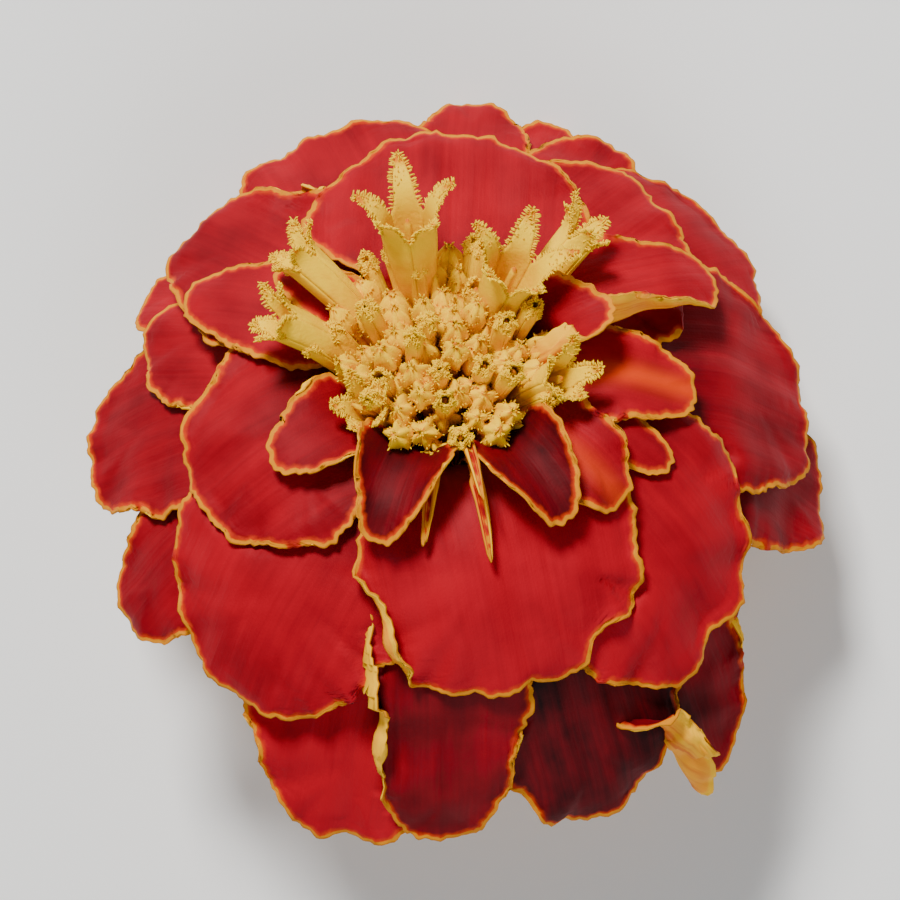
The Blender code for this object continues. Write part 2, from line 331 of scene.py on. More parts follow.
class Graph:
    """A short way to write node trees."""

    def __init__(self, tree: bpy.types.NodeTree) -> None:
        """Keep the tree that nodes are added to."""
        self.tree = tree

    def add(self, kind: str, **settings: object) -> bpy.types.Node:
        """Add a node.

        Args:
            kind: the node's type.
            settings: its properties by name.

        Returns:
            The node.
        """
        node = self.tree.nodes.new(kind)
        for key, value in settings.items():
            setattr(node, key, value)
        return node

    def feed(self, socket: bpy.types.NodeSocket, source: object) -> None:
        """Give a socket a link or a constant.

        Args:
            socket: the input to feed.
            source: an output to link, or a constant.
        """
        if isinstance(source, bpy.types.NodeSocket):
            self.tree.links.new(source, socket)
        else:
            socket.default_value = source

    def math(self, operation: str, first: object, second: object,
             clamp: bool = False) -> bpy.types.NodeSocket:
        """Work out a value.

        Args:
            operation: the math node's operation.
            first: first value.
            second: second value.
            clamp: keeps the result within 0..1.

        Returns:
            The result.
        """
        node = self.add("ShaderNodeMath", operation=operation, use_clamp=clamp)
        self.feed(node.inputs[0], first)
        self.feed(node.inputs[1], second)
        return node.outputs[0]

    def plus(self, first: object, second: object, clamp: bool = False) -> bpy.types.NodeSocket:
        """Return a sum."""
        return self.math("ADD", first, second, clamp)

    def times(self, first: object, second: object) -> bpy.types.NodeSocket:
        """Return a product."""
        return self.math("MULTIPLY", first, second)

    def swing(self, noise: object, amount: float) -> bpy.types.NodeSocket:
        """Return a noise value made to swing round zero, times an amount."""
        return self.times(self.math("SUBTRACT", noise, 0.5), amount)

    def ramp(self, value: object, low: object, high: object, start: float = 0.0,
             end: float = 1.0) -> bpy.types.NodeSocket:
        """Ease from one value to another.

        Args:
            value: what the easing follows.
            low: where it starts.
            high: where it ends.
            start: result at low.
            end: result at high.

        Returns:
            The eased value.
        """
        node = self.add("ShaderNodeMapRange", interpolation_type="SMOOTHSTEP")
        for socket, source in zip(node.inputs, (value, low, high, start, end)):
            self.feed(socket, source)
        return node.outputs[0]

    def mix(self, factor: object, first: object, second: object) -> bpy.types.NodeSocket:
        """Mix two colours.

        Args:
            factor: share of the second.
            first: the first colour.
            second: the second colour.

        Returns:
            The mixed colour.
        """
        node = self.add("ShaderNodeMix", data_type="RGBA")
        self.feed(node.inputs[0], factor)
        self.feed(node.inputs[6], first)
        self.feed(node.inputs[7], second)
        return node.outputs[2]

    def attribute(self, name: str) -> bpy.types.NodeSocket:
        """Return the value of a point attribute."""
        return self.add("ShaderNodeAttribute", attribute_name=name).outputs["Fac"]

    def place(self) -> bpy.types.NodeSocket:
        """Return the object coordinates, in metres."""
        return self.add("ShaderNodeTexCoord").outputs["Object"]

    def noise(self, vector: object, scale: float, detail: float = 2.0) -> bpy.types.NodeSocket:
        """Make noise.

        Args:
            vector: where it is read.
            scale: its scale.
            detail: its octaves.

        Returns:
            A value round 0.5.
        """
        node = self.add("ShaderNodeTexNoise")
        self.feed(node.inputs["Vector"], vector)
        node.inputs["Scale"].default_value = scale
        node.inputs["Detail"].default_value = detail
        return node.outputs["Fac"]

    def vector(self, x: object, y: object, z: object = 0.0) -> bpy.types.NodeSocket:
        """Put a vector together.

        Args:
            x: first part.
            y: second part.
            z: third part.

        Returns:
            The vector.
        """
        node = self.add("ShaderNodeCombineXYZ")
        for socket, source in zip(node.inputs, (x, y, z)):
            self.feed(socket, source)
        return node.outputs[0]

    def bump(self, height: object, distance: float, strength: float = 1.0) -> bpy.types.NodeSocket:
        """Bend the normal by a height.

        Args:
            height: the height.
            distance: metres that a height of 1 stands for.
            strength: share of the bend.

        Returns:
            The bent normal.
        """
        node = self.add("ShaderNodeBump")
        node.inputs["Strength"].default_value = strength
        node.inputs["Distance"].default_value = distance
        self.feed(node.inputs["Height"], height)
        return node.outputs[0]

    def group(self, tree: bpy.types.NodeTree, **inputs: object) -> bpy.types.Node:
        """Place a node group.

        Args:
            tree: the group.
            inputs: what feeds its inputs, by name.

        Returns:
            The group's node.
        """
        node = self.add("ShaderNodeGroup", node_tree=tree)
        for name, source in inputs.items():
            self.feed(node.inputs[name], source)
        return node


def new_group(name: str, inputs: dict[str, float],
              outputs: tuple[str, ...]) -> tuple[Graph, bpy.types.Node, bpy.types.Node]:
    """Start a shader node group of float sockets.

    Args:
        name: the group's name.
        inputs: input names and their defaults.
        outputs: output names.

    Returns:
        The graph to build in, its input node and its output node.
    """
    tree = bpy.data.node_groups.new(name, "ShaderNodeTree")
    for key, default in inputs.items():
        socket = tree.interface.new_socket(key, in_out="INPUT", socket_type="NodeSocketFloat")
        socket.default_value = default
    for key in outputs:
        tree.interface.new_socket(key, in_out="OUTPUT", socket_type="NodeSocketFloat")
    graph = Graph(tree)
    return graph, graph.add("NodeGroupInput"), graph.add("NodeGroupOutput")


def build_rim_group(waver_scale: float = 1400.0) -> bpy.types.NodeTree:
    """Make the group that masks a band along a blade's edge, of uneven width.

    Args:
        waver_scale: scale of the noise that moves the band's edge.

    Returns:
        The group's tree.
    """
    sizes = {"Distance": 0.0, "Width": 0.4, "Blur": 0.2, "Waver": 0.15}
    graph, given, out = new_group("edge_band", sizes, ("Mask",))
    waver = graph.math("SUBTRACT", graph.noise(graph.place(), waver_scale, 3.0), 0.5)
    width = graph.plus(given.outputs["Width"], graph.times(waver, given.outputs["Waver"]))
    far = graph.plus(width, given.outputs["Blur"])
    graph.feed(out.inputs["Mask"], graph.ramp(given.outputs["Distance"], width, far, 1.0, 0.0))
    return graph.tree


def build_vein_group(fine_pitch: float = 2.6, broad_pitch: float = 0.55,
                     stretch: float = 0.10) -> bpy.types.NodeTree:
    """Make the group of fine streaks that run along a blade.

    Args:
        fine_pitch: narrow streaks in a millimetre across the blade.
        broad_pitch: wide streaks in a millimetre across the blade.
        stretch: how fast both change along the blade.

    Returns:
        The group's tree.
    """
    graph, given, out = new_group("veins", {"Across": 0.0, "Along": 0.0, "Seed": 0.0}, ("Fine", "Broad"))
    slow = graph.times(given.outputs["Along"], stretch)
    for name, pitch, detail in (("Fine", fine_pitch, 2.0), ("Broad", broad_pitch, 3.0)):
        place = graph.vector(graph.times(given.outputs["Across"], pitch), slow, given.outputs["Seed"])
        graph.feed(out.inputs[name], graph.noise(place, 1.0, detail))
    return graph.tree


def start_material(name: str) -> tuple[bpy.types.Material, Graph, bpy.types.Node]:
    """Start a material and return it with its graph and its Principled BSDF."""
    material = bpy.data.materials.new(name)
    material.use_nodes = True
    return material, Graph(material.node_tree), material.node_tree.nodes["Principled BSDF"]


def blade_streaks(graph: Graph,
                  veins: bpy.types.NodeTree) -> tuple[bpy.types.NodeSocket, bpy.types.NodeSocket]:
    """Place the veins group on a blade and return its fine and broad streaks."""
    node = graph.group(veins, Across=graph.attribute("across"), Along=graph.attribute("along"),
                       Seed=graph.attribute("seed"))
    return node.outputs["Fine"], node.outputs["Broad"]


@dataclass(frozen=True)
class Band:
    """A band along a blade's edge, with its width, blur and waver in millimetres."""

    width: float
    blur: float
    waver: float

    def mask(self, graph: Graph, rim: bpy.types.NodeTree) -> bpy.types.NodeSocket:
        """Return the band's mask in a material."""
        node = graph.group(rim, Distance=graph.attribute("edge"), Width=self.width, Blur=self.blur,
                           Waver=self.waver)
        return node.outputs["Mask"]


@dataclass(frozen=True)
class PetalFinish:
    """Velvety red upper side with a golden rim and a golden claw, darkened to maroon by pigment and by
    painted shade.
    """

    bright: Colour = (0.40, 0.0015, 0.012, 1.0)
    # dark maroon that stands for pigment and for painted shade
    dark_maroon_and_shade: Colour = (0.016, 0.0002, 0.0012, 1.0)
    flush: Colour = (0.66, 0.045, 0.0008, 1.0)
    gold: Colour = (0.66, 0.23, 0.0, 1.0)
    cloud_scale: float = 220.0
    cloud_swing: float = 0.8
    broad_swing: float = 0.55
    fine_swing: float = 0.25
    claw_fade: tuple[float, float] = (0.15, 0.42)
    claw_waver: float = 0.12
    claw_share: float = 0.85
    blush: Band = Band(0.26, 0.40, 0.5)
    blush_share: float = 0.8
    line: Band = Band(0.24, 0.12, 0.28)
    roughness: float = 0.60
    roughness_swing: float = 0.18
    grain_scale: float = 5200.0
    grain_share: float = 0.35
    bump_depth: float = 0.00008
    bump_strength: float = 0.6
    sheen: float = 0.02
    sheen_roughness: float = 0.35
    sheen_tint: Colour = (1.0, 0.62, 0.66, 1.0)
    specular: float = 0.10

    def build(self, rim: bpy.types.NodeTree, veins: bpy.types.NodeTree) -> bpy.types.Material:
        """Make the material of the upper side.

        Args:
            rim: the group that masks a band along the edge.
            veins: the group of streaks along the blade.

        Returns:
            The material.
        """
        material, graph, shader = start_material("petal_upper")
        fine, broad = blade_streaks(graph, veins)
        cloud = graph.noise(graph.place(), self.cloud_scale, 3.0)
        # the darkness attribute (maroon pigment plus painted shade), with random streaks and clouds, mixes
        # the red towards the dark colour
        tone = graph.plus(graph.attribute("depth"), graph.swing(broad, self.broad_swing))
        tone = graph.plus(tone, graph.swing(cloud, self.cloud_swing))
        tone = graph.plus(tone, graph.swing(fine, self.fine_swing), clamp=True)
        colour = graph.mix(tone, self.bright, self.dark_maroon_and_shade)
        root = graph.plus(graph.attribute("root"), graph.times(fine, self.claw_waver))
        claw = graph.ramp(root, *self.claw_fade, 1.0, 0.0)
        colour = graph.mix(graph.times(claw, self.claw_share), colour, self.flush)
        colour = graph.mix(graph.attribute("stripe"), colour, self.flush)
        colour = graph.mix(graph.times(self.blush.mask(graph, rim), self.blush_share), colour, self.flush)
        colour = graph.mix(self.line.mask(graph, rim), colour, self.gold)
        graph.feed(shader.inputs["Base Color"], colour)
        rough = graph.plus(graph.swing(cloud, self.roughness_swing), self.roughness)
        graph.feed(shader.inputs["Roughness"], rough)
        grain = graph.noise(graph.place(), self.grain_scale)
        height = graph.plus(fine, graph.times(grain, self.grain_share))
        graph.feed(shader.inputs["Normal"], graph.bump(height, self.bump_depth, self.bump_strength))
        shader.inputs["Sheen Weight"].default_value = self.sheen
        shader.inputs["Sheen Roughness"].default_value = self.sheen_roughness
        shader.inputs["Sheen Tint"].default_value = self.sheen_tint
        shader.inputs["Specular IOR Level"].default_value = self.specular
        return material


@dataclass(frozen=True)
class UndersideFinish:
    """Golden underside of a petal, flushed with red between its veins."""

    gold: Colour = (0.95, 0.33, 0.002, 1.0)
    pale: Colour = (1.0, 0.52, 0.008, 1.0)
    flush: Colour = (0.62, 0.06, 0.012, 1.0)
    pale_fade: tuple[float, float] = (0.35, 0.65)
    cloud_scale: float = 260.0
    cloud_share: float = 0.6
    flush_fade: tuple[float, float] = (0.72, 0.98)
    flush_share: float = 0.75
    clear_edge: tuple[float, float] = (0.3, 1.6)
    line: Band = Band(0.25, 0.3, 0.2)
    bump_depth: float = 0.00012
    bump_strength: float = 0.8
    roughness: tuple[float, float] = (0.45, 0.6)
    specular: float = 0.12

    def build(self, rim: bpy.types.NodeTree, veins: bpy.types.NodeTree) -> bpy.types.Material:
        """Make the material of the underside.

        Args:
            rim: the group that masks a band along the edge.
            veins: the group of streaks along the blade.

        Returns:
            The material.
        """
        material, graph, shader = start_material("petal_underside")
        fine, broad = blade_streaks(graph, veins)
        base = graph.mix(graph.ramp(broad, *self.pale_fade), self.gold, self.pale)
        cloud = graph.noise(graph.place(), self.cloud_scale)
        flushed = graph.ramp(graph.plus(fine, graph.times(cloud, self.cloud_share)), *self.flush_fade)
        inner = graph.ramp(graph.attribute("edge"), *self.clear_edge)
        colour = graph.mix(graph.times(graph.times(flushed, inner), self.flush_share), base, self.flush)
        colour = graph.mix(self.line.mask(graph, rim), colour, self.pale)
        graph.feed(shader.inputs["Base Color"], colour)
        graph.feed(shader.inputs["Normal"], graph.bump(fine, self.bump_depth, self.bump_strength))
        graph.feed(shader.inputs["Roughness"], graph.ramp(broad, 0.3, 0.7, *self.roughness))
        shader.inputs["Specular IOR Level"].default_value = self.specular
        return material


@dataclass(frozen=True)
class FloretFinish:
    """Waxy golden corolla with painted orange shade low in the mound, and rust-coloured points."""

    yellow: Colour = (0.95, 0.60, 0.0, 1.0)
    # painted shade: the orange of the florets' lower parts, deep in the mound
    orange: Colour = (0.72, 0.20, 0.0, 1.0)
    rust: Colour = (0.55, 0.06, 0.001, 1.0)
    mottle_scale: float = 900.0
    height_swing: float = 0.35
    yellow_fade: tuple[float, float] = (0.50, 0.97)
    point_swing: float = 0.6
    point_fade: tuple[float, float] = (0.38, 0.85)
    point_share: float = 0.8
    roughness: tuple[float, float] = (0.38, 0.55)
    grain_scale: float = 4200.0
    bump_depth: float = 0.00006
    bump_strength: float = 0.7
    specular: float = 0.08

    def build(self) -> bpy.types.Material:
        """Make the material of the disc florets.

        Returns:
            The material.
        """
        material, graph, shader = start_material("floret")
        mottle = graph.noise(graph.place(), self.mottle_scale, 3.0)
        # painted shade: orange low down, gold towards the tops, set by the height attribute
        height = graph.plus(graph.attribute("height"), graph.swing(mottle, self.height_swing))
        colour = graph.mix(graph.ramp(height, *self.yellow_fade), self.orange, self.yellow)
        point = graph.plus(graph.attribute("point"), graph.swing(mottle, self.point_swing))
        point = graph.times(graph.ramp(point, *self.point_fade), self.point_share)
        graph.feed(shader.inputs["Base Color"], graph.mix(point, colour, self.rust))
        graph.feed(shader.inputs["Roughness"], graph.ramp(mottle, 0.3, 0.7, *self.roughness))
        grain = graph.noise(graph.place(), self.grain_scale)
        graph.feed(shader.inputs["Normal"], graph.bump(grain, self.bump_depth, self.bump_strength))
        shader.inputs["Specular IOR Level"].default_value = self.specular
        return material


@dataclass(frozen=True)
class GreenFinish:
    """Waxy green skin with ribs, and oil glands where it has them."""

    name: str
    light: Colour
    dark: Colour
    gland: float = 0.0
    gland_brown: Colour = (0.16, 0.085, 0.02, 1.0)
    pith: Colour = (0.42, 0.50, 0.22, 1.0)
    line_pitch: tuple[float, float] = (26.0, 0.25)
    line_share: float = 0.6
    cloud_scale: float = 300.0
    cloud_share: float = 0.5
    light_fade: tuple[float, float] = (0.35, 0.75)
    gland_pitch: tuple[float, float] = (8.0, 0.42)
    gland_edge: tuple[float, float] = (0.12, 0.24)
    gland_rise: float = 0.8
    roughness: tuple[float, float] = (0.38, 0.52)
    bump_depth: float = 0.00015
    bump_strength: float = 0.6

    def build(self) -> bpy.types.Material:
        """Make the material of a green part.

        Returns:
            The material.
        """
        material, graph, shader = start_material(self.name)
        across, along = graph.attribute("across"), graph.attribute("along")
        lines, cells = (graph.vector(graph.times(across, pitch[0]), graph.times(along, pitch[1]))
                        for pitch in (self.line_pitch, self.gland_pitch))
        lines = graph.noise(lines, 1.0)
        cloud = graph.noise(graph.place(), self.cloud_scale, 3.0)
        tone = graph.plus(graph.times(lines, self.line_share), graph.times(cloud, self.cloud_share))
        colour = graph.mix(graph.ramp(tone, *self.light_fade), self.dark, self.light)
        spots = graph.add("ShaderNodeTexVoronoi")
        graph.feed(spots.inputs["Vector"], cells)
        spots.inputs["Scale"].default_value = 1.0
        spot = graph.times(graph.ramp(spots.outputs["Distance"], *self.gland_edge, 1.0, 0.0), self.gland)
        colour = graph.mix(spot, colour, self.gland_brown)
        colour = graph.mix(graph.attribute("pale"), colour, self.pith)
        graph.feed(shader.inputs["Base Color"], colour)
        graph.feed(shader.inputs["Roughness"], graph.ramp(cloud, 0.3, 0.7, *self.roughness))
        height = graph.plus(lines, graph.times(spot, self.gland_rise))
        graph.feed(shader.inputs["Normal"], graph.bump(height, self.bump_depth, self.bump_strength))
        return material


# --------------------------------------------------------------------------- petals


@dataclass(frozen=True)
class Fold:
    """A flap turned up over the blade along a crease.

    The crease runs between two places of the blade, each a share of the length and a share of
    the half width; the flap lies to the right of it, as seen from above.
    """

    first: tuple[float, float]
    second: tuple[float, float]
    turn: float
    radius: float = 0.4


@dataclass(frozen=True)
class Petal:
    """One ray floret: its place in the head and the character of its blade.

    The first sizes repeat the frame's; the others shape the fine blade, but for the two darkness values,
    which give its maroon pigment together with painted shade.
    """

    azimuth: float
    layer: float
    reach: float
    width: float
    cup: float = 0.0
    droop: float = 0.0
    ruffle: float = 0.38
    lobing: float = 0.42
    notch: tuple[float, float] = (0.0, 0.0)
    corner: float = 0.0
    square: float = 0.27
    skew: float = 0.0
    tip_lift: float = 0.0
    # darkness of the blade: partly maroon pigment, partly painted shade on the lower, front and covered
    # petals
    depth: float = 0.12
    # more darkness towards the claw: partly maroon pigment, partly painted shade where the petals cover each
    # other's roots
    root_maroon_and_shade: float = 0.35
    stripe: float = 0.0
    shift: float = 0.0
    wider: float = 0.0
    longer: float = 0.0
    folds: tuple[Fold, ...] = ()


@dataclass(frozen=True)
class PetalStyle:
    """Sizes that all petals share, as in the frame, in millimetres."""

    claw_width: float = 0.85
    claw_radius: float = 5.7
    claw_radius_step: float = 0.62
    claw_foot: float = -11.0
    blade_foot: float = -4.0
    rise: float = 5.6
    rise_step: float = 2.0
    run: float = 0.6
    run_step: float = 0.35
    droop: float = 10.5
    droop_front: float = 7.5
    droop_run: float = 20.0
    widening: tuple[float, float] = (0.02, 0.6)
    fullness: float = 1.1
    shoulder: float = 0.74
    shoulder_loss: float = 0.08
    roundness: float = 2.7
    notch_width: float = 0.16
    cup_fade: tuple[float, float] = (0.15, 0.5)
    spread_fade: tuple[float, float] = (0.15, 0.25)
    lift_fade: tuple[float, float] = (0.45, 0.75)
    rows: int = 84
    columns: int = 66
    narrow: float = 3.0
    narrow_grid: tuple[int, int] = (60, 14)
    claw_rows: int = 8
    thickness: float = 0.26
    rim_thickness: float = 0.14
    rim_fade: float = 0.7

    def height(self, petal: Petal, radius: np.ndarray, azimuth: np.ndarray) -> np.ndarray:
        """Work out a blade's height.

        Args:
            petal: the petal.
            radius: distance from the axis.
            azimuth: in radians.

        Returns:
            The height at each point.
        """
        out = np.maximum(radius - self.claw_radius + self.claw_radius_step * petal.layer, 0.0)
        climb = self.rise + self.rise_step * petal.layer
        fall = self.droop - self.droop_front * np.sin(azimuth) + petal.droop
        run = self.run + self.run_step * petal.layer
        return self.blade_foot + climb * (1.0 - np.exp(-out / run)) - fall * (out / self.droop_run) ** 3


@dataclass(frozen=True)
class RimStyle:
    """Wave lengths, heights and reaches of what the rims and blades do, in millimetres."""

    ruffle_waves: tuple[float, float] = (4.3, 6.9)
    ruffle_raise: float = 0.25
    ruffle_reach: float = 2.6
    flutter_waves: tuple[float, float] = (1.15, 1.7)
    flutter: float = 0.10
    flutter_reach: float = 0.7
    bumps: int = 4
    bump: tuple[float, float] = (0.10, 0.18)
    bump_pitch: float = 0.45
    bump_start: float = 1.5
    groove: float = 0.05
    groove_pitch: float = 2.2
    groove_start: float = 2.0
    tooth_waves: tuple[float, float] = (0.83, 1.24)
    tooth: float = 0.11
    scallop_waves: tuple[float, float] = (2.3, 3.4)
    scallop: float = 0.4
    lobe_waves: tuple[float, float] = (6.1, 9.7)
    tooth_reach: float = 1.1
    full_width: float = 14.0
    grown: tuple[float, float] = (0.25, 0.35)
    navel: float = 0.55


@dataclass(frozen=True)
class Press:
    """How blades are pressed under their neighbours: a map's cells and the limits, in millimetres."""

    cells: int = 170
    cell: float = 0.4
    clearance: float = 0.42
    crown: tuple[float, float] = (8.5, 3.0)
    deepest: float = 2.5
    rounds: int = 24


@dataclass
class Leaf:
    """A blade's grid of points, with where each lies in the blade and how far from its rim."""

    points: np.ndarray
    along: np.ndarray
    across: np.ndarray
    half: np.ndarray
    edge: np.ndarray


class PetalRing:
    """All the petals of the head."""

    def __init__(self, petals: tuple[Petal, ...], style: PetalStyle, rim: RimStyle, press: Press) -> None:
        """Keep the petals and what they share."""
        self.petals = petals
        self.style = style
        self.rim = rim
        self.press = press

    @staticmethod
    def frame_node(index: int) -> str:
        """Return the name of a petal's frame node."""
        return f"ray_floret_{index + 1:02d}"

    def midrib(self, petal: Petal, steps: int = 400) -> tuple[np.ndarray, np.ndarray, np.ndarray]:
        """Measure a petal's midrib.

        Args:
            petal: the petal.
            steps: number of points.

        Returns:
            Distances from the axis, heights and lengths along the midrib.
        """
        inner = self.style.claw_radius - self.style.claw_radius_step * petal.layer
        radius = np.linspace(inner, petal.reach, steps)
        height = self.style.height(petal, radius, math.radians(petal.azimuth))
        length = np.concatenate([[0.0], np.cumsum(np.hypot(np.diff(radius), np.diff(height)))])
        return radius, height, length

    def fall_back(self, petal: Petal, along: np.ndarray, across: np.ndarray, total: float) -> np.ndarray:
        """Work out how far each rib of a blade stays short of the midrib.

        Args:
            petal: the petal.
            along: share of the length from the claw.
            across: share of the half width, -1 to 1.
            total: length of the midrib.

        Returns:
            The missing share of the length at each point.
        """
        middle, cut = petal.notch
        rounding = petal.square * np.abs(across) ** self.style.roundness * along ** 2
        one_side = np.maximum(across * np.sign(petal.corner) + 0.3, 0.0) ** 1.6
        corner = 0.5 * abs(petal.corner) * one_side * along ** 2
        notch = cut / total * np.exp(-((across - middle) / self.style.notch_width) ** 2) * along ** 8
        return rounding + corner + notch

    def blade(self, petal: Petal, along: np.ndarray, across: np.ndarray) -> tuple[np.ndarray, np.ndarray]:
        """Shape a smooth blade.

        Args:
            petal: the petal.
            along: share of the length from the claw, for each point of a grid.
            across: share of the half width, -1 to 1.

        Returns:
            Points of the blade and the half width at each of them.
        """
        style = self.style
        radii, heights, lengths = self.midrib(petal)
        inner, total = radii[0], lengths[-1]
        straight = np.interp(total * along, lengths, radii)
        widen = past((straight - inner) / (petal.reach - inner), *style.widening)
        claw = style.claw_width / petal.width
        shoulder = 1.0 - style.shoulder_loss * past(along, style.shoulder, 1.0 - style.shoulder) ** 2
        swelling = np.sin(widen * math.pi / 2.0) ** style.fullness * shoulder
        half = petal.width / 2.0 * (claw + (1.0 - claw) * swelling)
        sideways = across * half
        distance = total * along * (1.0 - self.fall_back(petal, along, across, total))
        rib = np.interp(distance, lengths, radii)
        azimuth = math.radians(petal.azimuth) + math.radians(petal.skew) * along ** 2
        radius = np.hypot(rib, sideways)
        turned = azimuth + np.arctan2(sideways, rib)
        spread = style.height(petal, radius, turned) + petal.cup * across ** 2 * past(along, *style.cup_fade)
        spread = spread + petal.tip_lift * rise(along, *style.lift_fade)
        blend = rise(along, *style.spread_fade)
        height = np.interp(distance, lengths, heights) * (1.0 - blend) + spread * blend
        return np.stack([radius * np.cos(turned), radius * np.sin(turned), height], -1), half

    @staticmethod
    def turn_up(leaf: Leaf, fold: Fold) -> np.ndarray:
        """Turn a flap of a blade up along its crease.

        Args:
            leaf: the blade.
            fold: the crease, and how far the flap turns.

        Returns:
            The blade's points, moved.
        """
        band, blade_start, outer_start = 0.6, 0.3, 0.4
        fade_before, fade_span = 0.08, 0.12
        points, normals = leaf.points, grid_normals(leaf.points)
        spots = [np.unravel_index(np.argmin((leaf.along - u) ** 2 + (leaf.across - v) ** 2), leaf.along.shape)
                 for u, v in (fold.first, fold.second)]
        start, end = points[spots[0]], points[spots[1]]
        line = unit(end - start)
        up = normals[leaf.along > outer_start].mean(0)
        up = unit(up - line * (up @ line))
        out = np.cross(line, up)
        offset = points - start
        beyond, height, run = offset @ out, offset @ up, offset @ line
        near = (np.abs(beyond) < band) & (leaf.along > blade_start)
        crease = np.polyval(np.polyfit(run[near], height[near], 3), run)
        height = height - crease
        angle = np.clip(beyond / fold.radius, 0.0, math.radians(fold.turn))
        angle = angle * rise(leaf.along, min(fold.first[0], fold.second[0]) - fade_before, fade_span)
        rest = np.where(beyond > 0.0, beyond - angle * fold.radius, beyond)
        forward = fold.radius * np.sin(angle) + rest * np.cos(angle) - height * np.sin(angle)
        raised = fold.radius * (1.0 - np.cos(angle)) + rest * np.sin(angle) + height * np.cos(angle)
        return start + line * run[..., None] + out * forward[..., None] + up * (raised + crease)[..., None]

    def surface(self, index: int) -> Leaf:
        """Shape one blade with its ruffled and toothed rim, before it meets its neighbours.

        Args:
            index: the petal's place in the table.

        Returns:
            The blade.
        """
        style, rim = self.style, self.rim
        plan = self.petals[index]
        petal = replace(plan, azimuth=plan.azimuth + plan.shift, width=plan.width + plan.wider,
                        reach=plan.reach + plan.longer)
        rng = np.random.default_rng(100 + index)
        rows, columns = style.narrow_grid if petal.width < style.narrow else (style.rows, style.columns)
        share = np.linspace(0.0, 1.0, rows)
        along = by_row(0.35 * share + 0.65 * (1.0 - (1.0 - share) ** 1.6), columns)
        turn = np.linspace(-1.0, 1.0, columns)
        across = by_column(0.55 * turn + 0.45 * np.sin(turn * math.pi / 2.0), rows)
        points, half = self.blade(petal, along, across)
        edge, place = self.edge_distance(points)
        normal = grid_normals(points)
        grown = rise(along, *rim.grown)
        size = min(petal.width / rim.full_width, 1.0)
        wave = ripple(place, rim.ruffle_waves, rng) + rim.ruffle_raise
        wave = wave * np.exp(-edge / (rim.ruffle_reach * size)) * petal.ruffle
        flutter = ripple(place, rim.flutter_waves, rng) * rim.flutter * np.exp(-edge / rim.flutter_reach)
        bumps = sum(rng.uniform(*rim.bump) * np.sin(points @ (rng.normal(size=3) * rim.bump_pitch)
                                                    + rng.uniform(0.0, 6.0))
                    for _ in range(rim.bumps)) * ease(edge / rim.bump_start)
        groove = rim.groove * np.cos(across * half * rim.groove_pitch + rng.uniform(0.0, 6.0))
        lift = (wave + flutter + bumps + groove * ease(edge / rim.groove_start)) * size * grown
        points = points + normal * lift[..., None]
        outward = points - points[int(rows * rim.navel), columns // 2]
        outward = unit(outward - normal * np.sum(outward * normal, -1, keepdims=True))
        tooth = ripple(place, rim.tooth_waves, rng) * rim.tooth
        tooth = tooth + ripple(place, rim.scallop_waves, rng) * rim.scallop * petal.lobing * size
        tooth = tooth + ripple(place, rim.lobe_waves, rng) * petal.lobing * size
        points = points + outward * (tooth * np.exp(-edge / rim.tooth_reach) * grown)[..., None]
        edge, _ = self.edge_distance(points)
        return Leaf(points, along, across, half, edge)

    def settle(self, leaves: list[Leaf]) -> None:
        """Press each blade down under the ones above it, from the top layer to the lowest.

        Args:
            leaves: the blades, in the order of the petals; their points are moved.
        """
        press = self.press
        ceiling = np.full((press.cells, press.cells), np.inf)
        order = sorted(range(len(leaves)), key=lambda index: -self.petals[index].layer)
        for index in order:
            points = leaves[index].points
            spot = (points[..., :2] / press.cell + press.cells / 2.0).astype(int)
            spot = np.clip(spot, 1, press.cells - 2)
            limit = ceiling[spot[..., 0], spot[..., 1]] - press.clearance
            free = rise(np.hypot(points[..., 0], points[..., 1]), *press.crown)
            down = np.clip(np.minimum(limit - points[..., 2], 0.0), -press.deepest, 0.0) * free
            spread = soften(down[..., None], press.rounds)[..., 0]
            points[..., 2] += np.minimum(down, spread)
            own = np.full((press.cells, press.cells), np.inf)
            np.minimum.at(own, (spot[..., 0].ravel(), spot[..., 1].ravel()), points[..., 2].ravel())
            shifts = [np.roll(own, (x, y), (0, 1)) for x in (-1, 0, 1) for y in (-1, 0, 1)]
            ceiling = np.minimum(ceiling, np.min(shifts, axis=0))

    def finish(self, index: int, leaf: Leaf) -> Sheet:
        """Fold one blade and give it its claw and thickness.

        Args:
            index: the petal's place in the table.
            leaf: its blade.

        Returns:
            The closed petal.
        """
        seed_step, stripe_width = 7.3, 0.8
        petal, style = self.petals[index], self.style
        for fold in petal.folds:
            leaf.points = self.turn_up(leaf, fold)
        foot = np.linspace(style.claw_foot, style.blade_foot, style.claw_rows, endpoint=False)
        claw = np.repeat(leaf.points[:1], style.claw_rows, axis=0)
        claw[..., 2] = foot[:, None]
        points = np.concatenate([claw, leaf.points])
        pad = ((style.claw_rows, 0), (0, 0))
        along, across, half, edge = (np.pad(value, pad, mode="edge")
                                     for value in (leaf.along, leaf.across, leaf.half, leaf.edge))
        along[:style.claw_rows] = 0.0
        thick = style.rim_thickness + (style.thickness - style.rim_thickness) * ease(edge / style.rim_fade)
        values = {
            "edge": edge,
            "along": along * self.midrib(petal)[2][-1],
            "across": across * half,
            "root": along,
            "seed": np.full_like(along, seed_step * index),
            # darkness: maroon pigment plus painted shade, stronger towards the claw
            "depth": petal.depth + petal.root_maroon_and_shade * (1.0 - rise(along, 0.25, 0.55)),
            "stripe": petal.stripe * np.exp(-(across * half / stripe_width) ** 2) * rise(along, 0.25, 0.4),
        }
        return thicken(points, thick, values)

